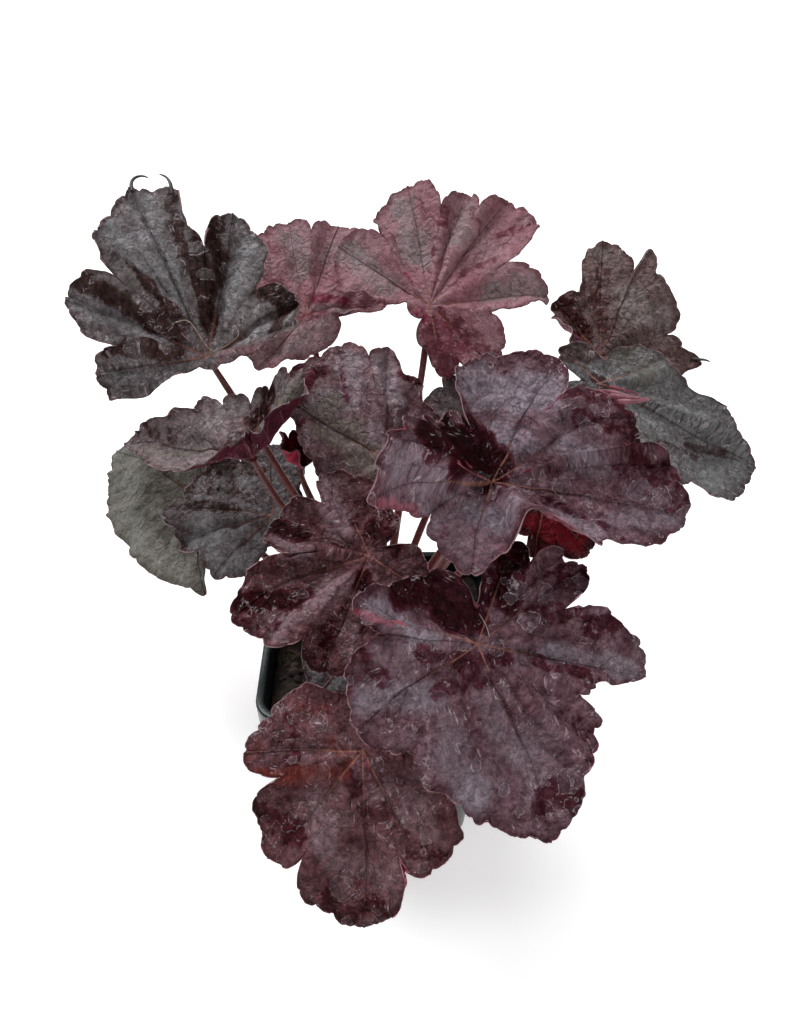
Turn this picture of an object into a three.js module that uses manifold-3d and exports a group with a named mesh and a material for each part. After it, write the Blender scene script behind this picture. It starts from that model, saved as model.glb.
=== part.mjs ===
// A heuchera, a leafy garden perennial, growing in a square nursery pot.
// Units are millimetres, +Z is up, and the origin is the middle of the pot's base.
// +X is to the right of the plant's front, and its front faces -Y.

import * as THREE from 'three';
import { mergeVertices } from 'three/addons/utils/BufferGeometryUtils.js';
import Module from 'manifold-3d';

const wasm = await Module();
wasm.setup();

// ---------------------------------------------------------------- driving dimensions

const GAP = 0.3; // clearance between pieces that touch
const FULL_TURN = 2 * Math.PI;

const POT = {
  height: 95,
  rimWidth: 94, // over the rim's outer faces
  baseWidth: 74,
  wall: 1.2,
  floor: 1.6,
  rimDepth: 11, // height of the rolled rim band
  rimStep: 2.2, // how far the rim stands out from the wall
  corner: 11, // corner radius at the rim
  drainRadius: 3.5,
  drainOffset: 22,
};

const SOIL = {
  top: 85,
  slope: 2, // how far it dips where it meets the pot
  bumps: 1.6, // height of the lumps on its surface
  holeRadius: 13, // plain hole in which the crown stands
  holeFloor: 66,
};

const CROWN = {
  radius: 12,
  top: 92,
};

const STALK = {
  radius: 1.5,
  sides: 8,
  steps: 8,
  lift: 1.6, // height of its foot over the crown, which clears its slanted end
  neck: 14, // how far below the blade it turns square to it
};

const BLADE = {
  thickness: 0.8,
  rimPoints: 84, // three points make one rounded tooth
  toothDepth: 1.7,
  rings: [
    { reach: 1, count: 84 },
    { reach: 0.8, count: 42 },
    { reach: 0.5, count: 42 },
    { reach: 0.24, count: 21 },
  ],
};

// Each leaf: where its stalk meets its blade, the compass heading of its midrib in
// degrees from +X, the rise of that midrib, the blade's roll about it, and its droop in
// degrees for each centimetre outwards. The rim goes once round from the slit at the
// stalk, and each entry is one lobe tip or one notch: angle from the midrib, reach in
// millimetres, and how steeply the blade leaves the stalk there, in degrees.
// The root is where the stalk starts on the crown, its angle and radius, and how far the
// stalk leans outwards there: 0 is upright.
const LEAVES = [
  {
    name: 'upper_left', at: [-67, 55, 190], heading: 105, pitch: 46, roll: 0, droop: -2,
    root: [128, 10, 0.9],
    rim: [
      [-180, 5, 0], [-136, 6, 30], [-108, 16, 50], [-94, 36, 40], [-78, 41, 30],
      [-46, 34, 20], [-34, 51, 15], [-19, 60, 5], [-8, 46, 12], [-3, 47, 11], [1, 66, 8],
      [15, 73, 8], [31, 66, 4], [40, 50, 10], [57, 60, 0], [68, 51, 0], [75, 34, 6],
      [88, 45, -5], [104, 42, -5], [112, 12, 0], [134, 5, 0],
    ],
  },
  {
    name: 'rear_left', at: [-33, 112, 178], heading: 100, pitch: 36, roll: 0, droop: -3,
    root: [104, 10.5, 0.7],
    rim: [
      [-180, 5, 0], [-134, 20, 0], [-106, 13, 8], [-82, 38, 0], [-52, 33, 6], [-23, 53, 0],
      [-9, 42, 6], [3, 53, 0], [20, 43, 6], [40, 46, 0], [60, 31, 6], [84, 38, 0],
      [106, 30, 6], [133, 34, 0], [158, 18, 0],
    ],
  },
  {
    name: 'rear', at: [20, 80, 199], heading: 80, pitch: 38, roll: 0, droop: -3,
    root: [76, 7, 0.4],
    rim: [
      [-180, 18, 0], [-160, 31, -4], [-146, 27, 4], [-126, 37, -4], [-92, 24, 8],
      [-76, 50, 0], [-54, 35, 8], [-40, 61, 0], [-25, 62, 0], [-18, 47, 8], [-8, 57, 0],
      [1, 44, 8], [17, 64, 0], [34, 52, 0], [39, 36, 8], [58, 52, 0], [80, 42, 0],
      [92, 9, 6], [160, 6, 0],
    ],
  },
  {
    name: 'rear_right', at: [93, 82, 174], heading: 75, pitch: 30, roll: 0, droop: -2,
    root: [36, 11, 0.4],
    rim: [
      [-180, 5, 0], [-130, 24, 0], [-110, 20, 8], [-88, 40, 10], [-67, 29, 20],
      [-52, 38, 30], [-30, 41, 36], [-17, 48, 40], [-8, 46, 8], [-1, 59, 0], [9, 65, 0],
      [19, 50, 0], [26, 30, 10], [46, 33, 10], [62, 27, 20], [90, 20, 50], [140, 18, 60],
    ],
  },
  {
    name: 'right', at: [88, 55, 178], heading: 0, pitch: -8, roll: 32, droop: -2,
    root: [18, 10.5, 0.4],
    rim: [
      [-180, 5, 0], [-130, 28, 0], [-100, 30, 0], [-76, 26, 6], [-56, 44, 2], [-44, 53, 0],
      [-31, 74, -4], [-17, 77, -4], [-12, 58, 6], [-4, 55, 2], [6, 37, 2], [17, 29, 8],
      [29, 32, 2], [47, 26, 0], [66, 17, 6], [92, 18, 0], [122, 20, 0], [148, 22, 0],
    ],
  },
  {
    name: 'centre_right', at: [39, -19, 186], heading: -20, pitch: -5, roll: 22, droop: -3,
    root: [-30, 4, 0.4],
    rim: [
      [-180, 36, 60], [-165, 44, 58], [-150, 50, 40], [-142, 42, 16], [-132, 22, 14],
      [-117, 29, 0], [-84, 34, 0], [-64, 27, 4], [-40, 27, 38], [-12, 43, 6], [1, 60, 0],
      [13, 69, 0], [28, 63, 4], [32, 51, 14], [44, 53, 20], [58, 46, 28], [68, 37, 22],
      [80, 50, 18], [94, 50, 18], [106, 47, 20], [126, 42, 25], [138, 20, 20], [160, 30, 48],
    ],
  },
  {
    name: 'under_right', at: [64, 13, 152], heading: -60, pitch: -40, roll: 0, droop: -2,
    root: [-2, 10, 0.4],
    rim: [
      [-180, 5, 0], [-140, 18, 0], [-110, 14, 6], [-80, 19, 0], [-55, 18, 6], [-38, 24, 0],
      [-14, 19, 6], [20, 27, 0], [50, 18, 6], [80, 20, 0], [112, 14, 6], [140, 18, 0],
    ],
  },
  {
    name: 'centre', at: [5, 27, 160], heading: 95, pitch: 42, roll: 0, droop: -3,
    root: [88, 3, 0.2],
    rim: [
      [-180, 6, 0], [-150, 16, 0], [-100, 18, 0], [-70, 16, 6], [-49, 27, 0], [-30, 27, 8],
      [-24, 36, 0], [-12, 36, 6], [-2, 49, 0], [8, 44, 6], [20, 54, 0], [36, 57, 0],
      [53, 58, 0], [66, 40, 8], [93, 30, 0], [116, 17, 6], [150, 20, 0],
    ],
  },
  {
    name: 'inner_right', at: [36, 54, 158], heading: 120, pitch: 35, roll: 0, droop: -2,
    root: [50, 7, 0.3],
    rim: [
      [-180, 5, 0], [-140, 14, 0], [-104, 12, 6], [-70, 18, 0], [-38, 15, 6], [-8, 25, 0],
      [12, 19, 6], [34, 21, 0], [58, 15, 6], [86, 18, 0], [118, 11, 6], [148, 12, 0],
    ],
  },
  {
    name: 'young', at: [-32, 36, 150], heading: 120, pitch: 0, roll: 0, droop: 5,
    root: [115, 7, 0.3],
    rim: [
      [-180, 5, 40], [-150, 14, 60], [-110, 10, 62], [-62, 14, 60], [-40, 11, 62],
      [-10, 16, 60], [16, 13, 62], [40, 18, 60], [70, 14, 62], [100, 17, 60], [150, 15, 60],
    ],
  },
  {
    name: 'mid_left', at: [-48, 23, 165], heading: 170, pitch: 0, roll: -12, droop: -3,
    root: [158, 6.5, 0.3],
    rim: [
      [-180, 6, 20], [-150, 30, 60], [-115, 38, 30], [-95, 30, 20], [-71, 26, 20],
      [-53, 30, 20], [-37, 29, 20], [-26, 37, 12], [-10, 60, 0], [-3, 48, -8],
      [4, 40, -12], [20, 18, 20], [60, 30, 70], [100, 38, 90], [140, 38, 80],
    ],
  },
  {
    name: 'low_left', at: [-45, 35, 126], heading: 190, pitch: -8, roll: -25, droop: -3,
    root: [150, 11, 0.6],
    rim: [
      [-180, 5, 0], [-146, 16, 0], [-126, 29, 0], [-98, 38, 0], [-72, 30, 7], [-52, 40, 0],
      [-32, 44, 0], [-20, 50, 0], [-6, 41, 4], [2, 43, 0], [14, 33, 7], [34, 36, 0],
      [54, 30, 0], [70, 14, 7], [110, 12, 0], [148, 9, 0],
    ],
  },
  {
    name: 'far_left', at: [-85, 67, 112], heading: 150, pitch: -11, roll: -30, droop: -3,
    root: [172, 11, 1.2],
    rim: [
      [-180, 5, 0], [-138, 22, 0], [-104, 34, 0], [-76, 28, 6], [-48, 46, 0], [-22, 74, 0],
      [-8, 66, 0], [8, 53, 4], [24, 47, 0], [44, 39, 2], [60, 36, 4], [80, 38, 0],
      [94, 42, 0], [104, 42, 4], [116, 49, 0], [126, 50, 0], [140, 14, 0],
    ],
  },
  {
    name: 'front_left', at: [-3, -16, 150], heading: 215, pitch: -15, roll: -28, droop: -3,
    root: [230, 4, 0.3],
    rim: [
      [-180, 6, 0], [-156, 20, 0], [-127, 31, 0], [-104, 38, 0], [-85, 28, 8], [-70, 37, 0],
      [-50, 40, 0], [-37, 34, 7], [-27, 46, 0], [-14, 55, 0], [3, 49, 0], [16, 41, 8],
      [32, 46, 0], [47, 43, 0], [66, 17, 6], [110, 26, 0], [150, 20, 0],
    ],
  },
  {
    name: 'front_right', at: [33, -63, 155], heading: -80, pitch: -42, roll: 0, droop: -3,
    root: [-66, 8, 0.4],
    rim: [
      [-180, 12, 5], [-153, 28, 10], [-128, 35, 14], [-116, 46, 36], [-102, 30, 20],
      [-79, 45, 10], [-62, 48, 4], [-40, 38, 6], [-19, 50, 0], [0, 62, 0], [15, 72, 0],
      [29, 64, 0], [33, 54, 6], [45, 52, 2], [56, 36, 8], [64, 43, 4], [72, 60, 0],
      [80, 60, 0], [95, 48, 0], [104, 32, 8], [116, 46, 0], [128, 44, 0], [139, 31, 8],
      [152, 38, 0],
    ],
  },
  {
    name: 'front', at: [-4, -80, 122], heading: -95, pitch: -45, roll: 0, droop: -3,
    root: [-98, 10, 0.5],
    rim: [
      [-180, 4, 0], [-154, 20, 0], [-132, 30, 0], [-108, 34, 4], [-84, 41, 0], [-69, 32, 6],
      [-51, 44, 0], [-38, 49, 0], [-26, 45, 5], [-12, 56, 0], [3, 62, 0], [14, 56, 0],
      [23, 41, 6], [32, 47, 0], [52, 44, 0], [68, 30, 6], [94, 26, 0], [136, 20, 0],
    ],
  },
  {
    name: 'low_front', at: [-13, -24, 101], heading: 205, pitch: -20, roll: -20, droop: -3,
    root: [206, 11, 0.8],
    rim: [
      [-180, 4, 0], [-130, 12, 0], [-100, 10, 5], [-70, 15, 0], [-43, 18, 0], [-22, 16, 5],
      [16, 17, 0], [46, 12, 5], [80, 12, 0], [130, 11, 0],
    ],
  },
];

// ---------------------------------------------------------------- finishes

const finish = (color, roughness) => new THREE.MeshStandardMaterial({ color, roughness, metalness: 0 });
const MATERIALS = {
  pot: finish(0x16201f, 0.35),
  soil: finish(0x2c241a, 0.95),
  crown: finish(0x4a2a1c, 0.8),
  stalk: finish(0x6b2a2a, 0.5),
  blade: finish(0x43303a, 0.5),
};

// ---------------------------------------------------------------- geometry helpers

const radians = THREE.MathUtils.degToRad;
const ease = (u) => u * u * (3 - 2 * u);

function seeded(seed) {
  let state = seed;
  return () => {
    state = (state * 1664525 + 1013904223) % 4294967296;
    return state / 4294967296;
  };
}

function closedGeometry(points, triangles) {
  const geometry = new THREE.BufferGeometry();
  const coordinates = points.flatMap((p) => [p.x, p.y, p.z]);
  geometry.setAttribute('position', new THREE.Float32BufferAttribute(coordinates, 3));
  geometry.setIndex(triangles);
  return geometry;
}

// A skin over rings of equal point count, counter-clockwise seen from outside the first
// ring's cap, closed by a fan at both ends.
function skinGeometry(rings) {
  const count = rings[0].length;
  const points = rings.flat();
  const triangles = [];
  for (let r = 0; r + 1 < rings.length; r++) {
    for (let i = 0; i < count; i++) {
      const a = r * count + i;
      const b = r * count + ((i + 1) % count);
      triangles.push(a, b, b + count, a, b + count, a + count);
    }
  }
  const middle = (ring) => ring.reduce((sum, p) => sum.add(p), new THREE.Vector3()).divideScalar(count);
  const first = points.length;
  points.push(middle(rings[0]), middle(rings.at(-1)));
  const lastRing = (rings.length - 1) * count;
  for (let i = 0; i < count; i++) {
    const j = (i + 1) % count;
    triangles.push(first, j, i);
    triangles.push(first + 1, lastRing + i, lastRing + j);
  }
  return closedGeometry(points, triangles);
}

// One ring of a square with round corners, as wide as given, with 6 points a corner.
const CORNER_POINTS = 6;
const RING_POINTS = 4 * CORNER_POINTS;
function squareRing(width, corner, z) {
  const middle = width / 2 - corner;
  const ring = [];
  for (let quarter = 0; quarter < 4; quarter++) {
    for (let i = 0; i < CORNER_POINTS; i++) {
      const angle = (quarter + i / (CORNER_POINTS - 1)) * (Math.PI / 2);
      const turn = (quarter + 0.5) * (Math.PI / 2);
      const x = middle * Math.SQRT2 * Math.cos(turn) + corner * Math.cos(angle);
      const y = middle * Math.SQRT2 * Math.sin(turn) + corner * Math.sin(angle);
      ring.push(new THREE.Vector3(x, y, z));
    }
  }
  return ring;
}

function roundRing(radius, z) {
  return squareRing(2 * radius, radius, z).map((p, i) => {
    const angle = ((i + 0.5) / RING_POINTS) * FULL_TURN;
    return new THREE.Vector3(radius * Math.cos(angle), radius * Math.sin(angle), z);
  });
}

function toManifold(geometry) {
  const plain = geometry.clone();
  plain.deleteAttribute('normal');
  plain.deleteAttribute('uv');
  const merged = mergeVertices(plain, 1e-4);
  return new wasm.Manifold(new wasm.Mesh({
    numProp: 3,
    vertProperties: new Float32Array(merged.attributes.position.array),
    triVerts: new Uint32Array(merged.index.array),
  }));
}

function fromManifold(solid) {
  const mesh = solid.getMesh();
  const geometry = new THREE.BufferGeometry();
  geometry.setAttribute('position', new THREE.BufferAttribute(mesh.vertProperties, 3));
  geometry.setIndex(new THREE.BufferAttribute(mesh.triVerts, 1));
  return geometry;
}

// ---------------------------------------------------------------- pot, soil and crown

// Width of the pot's outer wall at a height, below its rim band.
function wallWidth(z) {
  const top = POT.rimWidth - 2 * POT.rimStep;
  return POT.baseWidth + (top - POT.baseWidth) * (z / POT.height);
}

function potGeometry() {
  const rimFoot = POT.height - POT.rimDepth;
  const inside = (z) => wallWidth(z) - 2 * POT.wall;
  const insideCorner = POT.corner - POT.rimStep - POT.wall;
  const shell = skinGeometry([
    squareRing(POT.baseWidth - 3, 7, 0),
    squareRing(POT.baseWidth, 8, 2),
    squareRing(wallWidth(rimFoot), POT.corner - POT.rimStep, rimFoot),
    squareRing(POT.rimWidth - 0.6, POT.corner, rimFoot + 0.8),
    squareRing(POT.rimWidth, POT.corner, POT.height - 1),
    squareRing(POT.rimWidth - 1, POT.corner - 0.5, POT.height),
    squareRing(inside(POT.height) + 1, insideCorner + 0.5, POT.height),
    squareRing(inside(POT.height), insideCorner, POT.height - 1),
    squareRing(inside(POT.floor), 6, POT.floor),
  ]);
  let pot = toManifold(shell);
  for (let i = 0; i < 4; i++) {
    const angle = (i + 0.5) * (Math.PI / 2);
    const drain = new THREE.CylinderGeometry(POT.drainRadius, POT.drainRadius, 12, 12);
    drain.rotateX(Math.PI / 2);
    drain.translate(POT.drainOffset * Math.cos(angle), POT.drainOffset * Math.sin(angle), 0);
    pot = pot.subtract(toManifold(drain));
  }
  return fromManifold(pot);
}

function soilGeometry() {
  const random = seeded(7);
  const bottom = POT.floor + GAP;
  const width = (z) => wallWidth(z) - 2 * POT.wall - 2 * GAP;
  const lumpy = (ring) => ring.map((p) => p.setZ(p.z + SOIL.bumps * (random() - 0.5)));
  const top = width(SOIL.top - SOIL.slope);
  return skinGeometry([
    squareRing(width(bottom), 6, bottom),
    squareRing(top, 7.4, SOIL.top - SOIL.slope),
    lumpy(squareRing(top * 0.84, 9, SOIL.top)),
    lumpy(squareRing(top * 0.66, 14, SOIL.top + 0.6)),
    lumpy(squareRing(top * 0.5, 16, SOIL.top + 1)),
    roundRing(SOIL.holeRadius, SOIL.top + 1.2),
    roundRing(SOIL.holeRadius, SOIL.holeFloor),
  ]);
}

function crownGeometry() {
  const random = seeded(11);
  const rough = (ring) => ring.map((p) => {
    const shrink = 1 - 0.12 * random();
    return new THREE.Vector3(p.x * shrink, p.y * shrink, p.z);
  });
  return skinGeometry([
    roundRing(CROWN.radius - 4, SOIL.holeFloor + GAP),
    rough(roundRing(CROWN.radius - 1, SOIL.holeFloor + 6)),
    rough(roundRing(CROWN.radius, SOIL.top - 4)),
    rough(roundRing(CROWN.radius - 1, CROWN.top - 4)),
    rough(roundRing(CROWN.radius - 3, CROWN.top - 1)),
    roundRing(CROWN.radius - 7, CROWN.top),
  ]);
}

// ---------------------------------------------------------------- leaves

function bladeMatrix(leaf) {
  const turn = new THREE.Euler(radians(leaf.roll), radians(-leaf.pitch), radians(leaf.heading), 'ZYX');
  return new THREE.Matrix4().makeRotationFromEuler(turn).setPosition(...leaf.at);
}

// Reach and lift of the blade's rim at an angle. Between a lobe tip and a deeper notch
// the rim is round at the tip and sharp at the notch.
function rimAt(leaf, angle) {
  const rim = [...leaf.rim, [leaf.rim[0][0] + 360, leaf.rim[0][1], leaf.rim[0][2]]];
  const next = rim.findIndex((entry) => entry[0] > angle);
  const here = next < 0 ? rim.length - 2 : next - 1;
  const [startAngle, startReach, startLift] = rim[here];
  const [endAngle, endReach, endLift] = rim[here + 1];
  const u = (angle - startAngle) / (endAngle - startAngle);
  const before = leaf.rim[(here + leaf.rim.length - 1) % leaf.rim.length][1];
  const after = rim[(here + 2) % leaf.rim.length][1];
  const startIsNotch = startReach < before && startReach < endReach;
  const endIsNotch = endReach < after && endReach < startReach;
  let blend = ease(u);
  if (startIsNotch) blend = Math.sin((u * Math.PI) / 2) ** 0.7;
  if (endIsNotch) blend = 1 - Math.sin(((1 - u) * Math.PI) / 2) ** 0.7;
  return {
    reach: startReach + (endReach - startReach) * blend,
    lift: startLift + (endLift - startLift) * ease(u),
  };
}

// A point of the blade's middle surface: it leaves the stalk at the rim's lift and turns
// by the leaf's droop as it goes outwards.
function bladePoint(leaf, angle, distance, lift) {
  const start = radians(lift);
  const turn = radians(leaf.droop / 10);
  const end = start + turn * distance;
  const out = (Math.sin(end) - Math.sin(start)) / turn;
  const up = (Math.cos(start) - Math.cos(end)) / turn;
  return new THREE.Vector3(out * Math.cos(radians(angle)), out * Math.sin(radians(angle)), up);
}

// Angles of the rim's points, evenly spaced along the rim, with the nearest ones moved
// to the lobe tips and notches.
function rimAngles(leaf) {
  const samples = 1440;
  const angles = [];
  const lengths = [0];
  let last = null;
  for (let i = 0; i <= samples; i++) {
    const angle = -180 + (360 * i) / samples;
    const { reach } = rimAt(leaf, Math.min(angle, 179.999));
    const point = new THREE.Vector2(reach * Math.cos(radians(angle)), reach * Math.sin(radians(angle)));
    if (last) lengths.push(lengths.at(-1) + point.distanceTo(last));
    angles.push(angle);
    last = point;
  }
  const even = [];
  let i = 0;
  for (let k = 0; k < BLADE.rimPoints; k++) {
    const target = (lengths.at(-1) * k) / BLADE.rimPoints;
    while (lengths[i + 1] < target) i++;
    even.push(angles[i] + (360 / samples) * ((target - lengths[i]) / (lengths[i + 1] - lengths[i])));
  }
  for (const [angle] of leaf.rim.slice(1)) {
    let nearest = 1;
    for (let k = 1; k < even.length; k++) {
      if (Math.abs(even[k] - angle) < Math.abs(even[nearest] - angle)) nearest = k;
    }
    even[nearest] = angle;
  }
  return even;
}

// Triangles of the band between a ring and the next one inwards, which has as many
// points or half as many.
function bandTriangles(outer, outerCount, inner, innerCount) {
  const triangles = [];
  const step = outerCount / innerCount;
  for (let i = 0; i < innerCount; i++) {
    const here = inner + i;
    const next = inner + ((i + 1) % innerCount);
    const a = outer + i * step;
    const b = outer + ((i * step + 1) % outerCount);
    if (step === 1) {
      triangles.push(a, b, next, a, next, here);
    } else {
      const c = outer + ((i * step + 2) % outerCount);
      triangles.push(a, b, here, b, next, here, b, c, next);
    }
  }
  return triangles;
}

function bladeGeometry(leaf) {
  const rimPositions = rimAngles(leaf);
  const middle = [];
  const face = [];
  let outer = -1;
  let outerCount = 0;
  for (const ring of BLADE.rings) {
    const step = BLADE.rimPoints / ring.count;
    const start = middle.length;
    for (let k = 0; k < ring.count; k++) {
      const angle = rimPositions[k * step];
      const { reach, lift } = rimAt(leaf, angle);
      const isToothNotch = ring.reach === 1 && k % 3 === 0 && reach > 10;
      const distance = ring.reach * reach - (isToothNotch ? BLADE.toothDepth : 0);
      middle.push(bladePoint(leaf, angle, distance, lift));
    }
    if (outer >= 0) face.push(...bandTriangles(outer, outerCount, start, ring.count));
    outer = start;
    outerCount = ring.count;
  }
  const heart = middle.length;
  middle.push(new THREE.Vector3());
  for (let k = 0; k < outerCount; k++) face.push(outer + k, outer + ((k + 1) % outerCount), heart);

  const normals = closedGeometry(middle, face);
  normals.computeVertexNormals();
  const normal = new THREE.Vector3();
  const matrix = bladeMatrix(leaf);
  const side = (sign) => middle.map((point, i) => {
    normal.fromBufferAttribute(normals.attributes.normal, i);
    return point.clone().addScaledVector(normal, (sign * BLADE.thickness) / 2).applyMatrix4(matrix);
  });
  const count = middle.length;
  const triangles = [...face];
  for (let i = 0; i < face.length; i += 3) {
    triangles.push(face[i] + count, face[i + 2] + count, face[i + 1] + count);
  }
  for (let k = 0; k < BLADE.rimPoints; k++) {
    const next = (k + 1) % BLADE.rimPoints;
    triangles.push(k, k + count, next + count, k, next + count, next);
  }
  return closedGeometry([...side(1), ...side(-1)], triangles);
}

function stalkGeometry(leaf) {
  const matrix = bladeMatrix(leaf);
  const normal = new THREE.Vector3(0, 0, 1).transformDirection(matrix);
  const [rootAngle, rootRadius, lean] = leaf.root;
  const outwards = new THREE.Vector3(Math.cos(radians(rootAngle)), Math.sin(radians(rootAngle)), 0);
  const start = outwards.clone().multiplyScalar(rootRadius).setZ(CROWN.top + STALK.lift);
  const end = new THREE.Vector3(...leaf.at).addScaledVector(normal, -BLADE.thickness / 2 - 0.8);
  const span = start.distanceTo(end);
  const leaving = outwards.clone().multiplyScalar(lean).setZ(1).normalize();
  const leave = start.clone().addScaledVector(leaving, span * 0.3);
  const arrive = end.clone().addScaledVector(normal, -Math.min(STALK.neck, span / 4));
  const path = new THREE.CubicBezierCurve3(start, leave, arrive, end);
  const section = new THREE.Shape();
  section.absarc(0, 0, STALK.radius, 0, FULL_TURN);
  return new THREE.ExtrudeGeometry(section, {
    extrudePath: path,
    steps: STALK.steps,
    curveSegments: STALK.sides / 2,
  });
}

// ---------------------------------------------------------------- assembly

const plant = new THREE.Group();

function addPiece(name, geometry, material) {
  const mesh = new THREE.Mesh(geometry, material);
  mesh.name = name;
  plant.add(mesh);
}

addPiece('pot', potGeometry(), MATERIALS.pot);
addPiece('soil', soilGeometry(), MATERIALS.soil);
addPiece('crown', crownGeometry(), MATERIALS.crown);
for (const leaf of LEAVES) {
  addPiece(`blade_${leaf.name}`, bladeGeometry(leaf), MATERIALS.blade);
  addPiece(`stalk_${leaf.name}`, stalkGeometry(leaf), MATERIALS.stalk);
}

export default plant;
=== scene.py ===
"""Looks of a potted heuchera: its leaves, crown, soil and square nursery pot.

Sizes of the plant are written in millimetres, as a grower would give them, and turned
into metres where a mesh is made. +Z is up, the plant's front faces -Y, and the origin is
the middle of the pot's base.
"""

from __future__ import annotations

import logging
import math
from dataclasses import dataclass, field
from enum import Enum
from typing import Sequence, Union

import bmesh
import bpy
import numpy as np
from mathutils import Euler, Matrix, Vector


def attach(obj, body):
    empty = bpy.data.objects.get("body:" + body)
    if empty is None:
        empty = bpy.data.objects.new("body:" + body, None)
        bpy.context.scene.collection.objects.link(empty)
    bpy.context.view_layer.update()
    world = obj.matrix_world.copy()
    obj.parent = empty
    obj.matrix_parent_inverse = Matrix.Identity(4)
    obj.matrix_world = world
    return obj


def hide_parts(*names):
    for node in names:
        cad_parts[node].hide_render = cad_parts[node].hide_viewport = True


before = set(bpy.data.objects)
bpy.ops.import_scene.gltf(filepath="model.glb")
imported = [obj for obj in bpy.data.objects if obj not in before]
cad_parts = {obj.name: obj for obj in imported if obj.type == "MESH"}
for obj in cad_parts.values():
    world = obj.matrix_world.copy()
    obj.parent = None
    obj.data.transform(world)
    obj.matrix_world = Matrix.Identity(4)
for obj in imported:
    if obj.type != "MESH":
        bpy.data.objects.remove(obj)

LOG = logging.getLogger("heuchera")
MM = 0.001
BODY = "root"
SIDE_VEIN_PITCH = 9.0  # from one side vein to the next along a main vein
SIDE_VEIN_SLANT = 1.15  # how far a side vein runs outwards for each step aside

Point = tuple[float, float, float]
Color = tuple[float, float, float]
Faces = list[tuple[int, ...]]
Solid = tuple[np.ndarray, Faces]
Input = Union["Signal", float, Color, None]


class Slot(Enum):
    """The record's material slots."""

    POT = "pot"
    SOIL = "soil"
    CROWN = "crown"
    STALK = "stalk"
    PLUM = "blade_plum"
    GREY = "blade_grey_green"
    ROSE = "blade_rose"


class Blend(Enum):
    """How a colour joins what lies under it."""

    OVER = "MIX"
    TINT = "MULTIPLY"


# ------------------------------------------------------------------ small mesh helpers


def smooth_step(low: float, high: float, value: np.ndarray) -> np.ndarray:
    """Rises smoothly from 0 where value is low to 1 where it is high."""
    u = np.clip((value - low) / (high - low), 0.0, 1.0)
    return u * u * (3.0 - 2.0 * u)


def unit(vectors: np.ndarray) -> np.ndarray:
    """Scales vectors, with their coordinates last, to a length of 1."""
    return vectors / np.maximum(np.linalg.norm(vectors, axis=-1, keepdims=True), 1e-9)


def polar(angle: np.ndarray | float, reach: np.ndarray | float) -> np.ndarray:
    """Turns angles in degrees and reaches into flat points, with x and y last."""
    turn = np.radians(angle)
    return np.asarray(reach)[..., None] * np.stack([np.cos(turn), np.sin(turn)], -1)


def wander(points: np.ndarray, wavelength: float, seed: int, waves: int = 7) -> np.ndarray:
    """Adds up waves in seeded directions, which gives a soft random relief.

    Args:
        points: Places, one row each, with two or three columns.
        wavelength: Typical distance from one crest to the next.
        seed: Seed of the draw.
        waves: How many waves are added.

    Returns:
        One value for each place, mostly between -1 and 1.
    """
    random = np.random.default_rng(seed)
    total = np.zeros(points.shape[:-1])
    for _ in range(waves):
        direction = random.normal(size=points.shape[-1])
        direction /= np.linalg.norm(direction)
        pitch = wavelength * random.uniform(0.6, 1.5)
        total += np.sin(2 * math.pi * (points @ direction / pitch + random.random()))
    return total / math.sqrt(waves)


def turned(faces: Faces) -> Faces:
    """Turns faces over, so that they look the other way."""
    return [face[::-1] for face in faces]


def lattice(rows: int, columns: int) -> Faces:
    """Quads between rows of points that each close on themselves.

    Args:
        rows: Number of rows.
        columns: Number of points in a row.

    Returns:
        The faces, as tuples of point indices.
    """
    faces = []
    for row in range(rows - 1):
        for column in range(columns):
            a = row * columns + column
            b = row * columns + (column + 1) % columns
            faces.append((a, b, b + columns, a + columns))
    return faces


def fan(ring: Sequence[int], heart: int) -> Faces:
    """Triangles from each side of a ring of points to one point in its middle."""
    return [(ring[i], ring[(i + 1) % len(ring)], heart) for i in range(len(ring))]


def capped(rings: Sequence[np.ndarray], low: Sequence[float], high: Sequence[float]) -> Solid:
    """Closes a stack of alike rings with a point in the middle of each end.

    Args:
        rings: Points of each ring, counter-clockwise seen from the high end.
        low: The point that closes the first ring.
        high: The point that closes the last ring.

    Returns:
        The points and the faces.
    """
    columns = len(rings[0])
    count = len(rings) * columns
    faces = lattice(len(rings), columns) + turned(fan(range(columns), count))
    faces += fan(range(count - columns, count), count + 1)
    return np.concatenate([*rings, [low], [high]]), faces


def tube(path: np.ndarray, radii: Sequence[float], sides: int) -> Solid:
    """A closed round tube along a path.

    Args:
        path: Points of its middle line, one row each.
        radii: Its radius at each of those points.
        sides: Number of sides.

    Returns:
        Its points and its faces.
    """
    along = unit(np.gradient(path, axis=0))
    side = np.cross(along[0], (0.0, 0.0, 1.0))
    if np.linalg.norm(side) < 0.1:
        side = np.cross(along[0], (0.0, 1.0, 0.0))
    compass = polar(np.arange(sides) * 360.0 / sides, 1.0)
    rings = []
    for point, direction, radius in zip(path, along, radii):
        side = unit(side - direction * (side @ direction))
        rings.append(point + radius * compass @ np.array([side, np.cross(side, direction)]))
    points, faces = capped(rings, path[0], path[-1])
    return points, turned(faces)


def bezier(ends: Sequence[np.ndarray], handles: Sequence[np.ndarray], steps: int) -> np.ndarray:
    """Points along a cubic curve.

    Args:
        ends: Its first and its last point.
        handles: The handle after the first point and the one before the last.
        steps: Number of stretches.

    Returns:
        The points, one row each.
    """
    u = np.linspace(0.0, 1.0, steps + 1)[:, None]
    v = 1.0 - u
    return v**3 * ends[0] + 3 * u * v * v * handles[0] + 3 * u * u * v * handles[1] + u**3 * ends[1]


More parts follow.
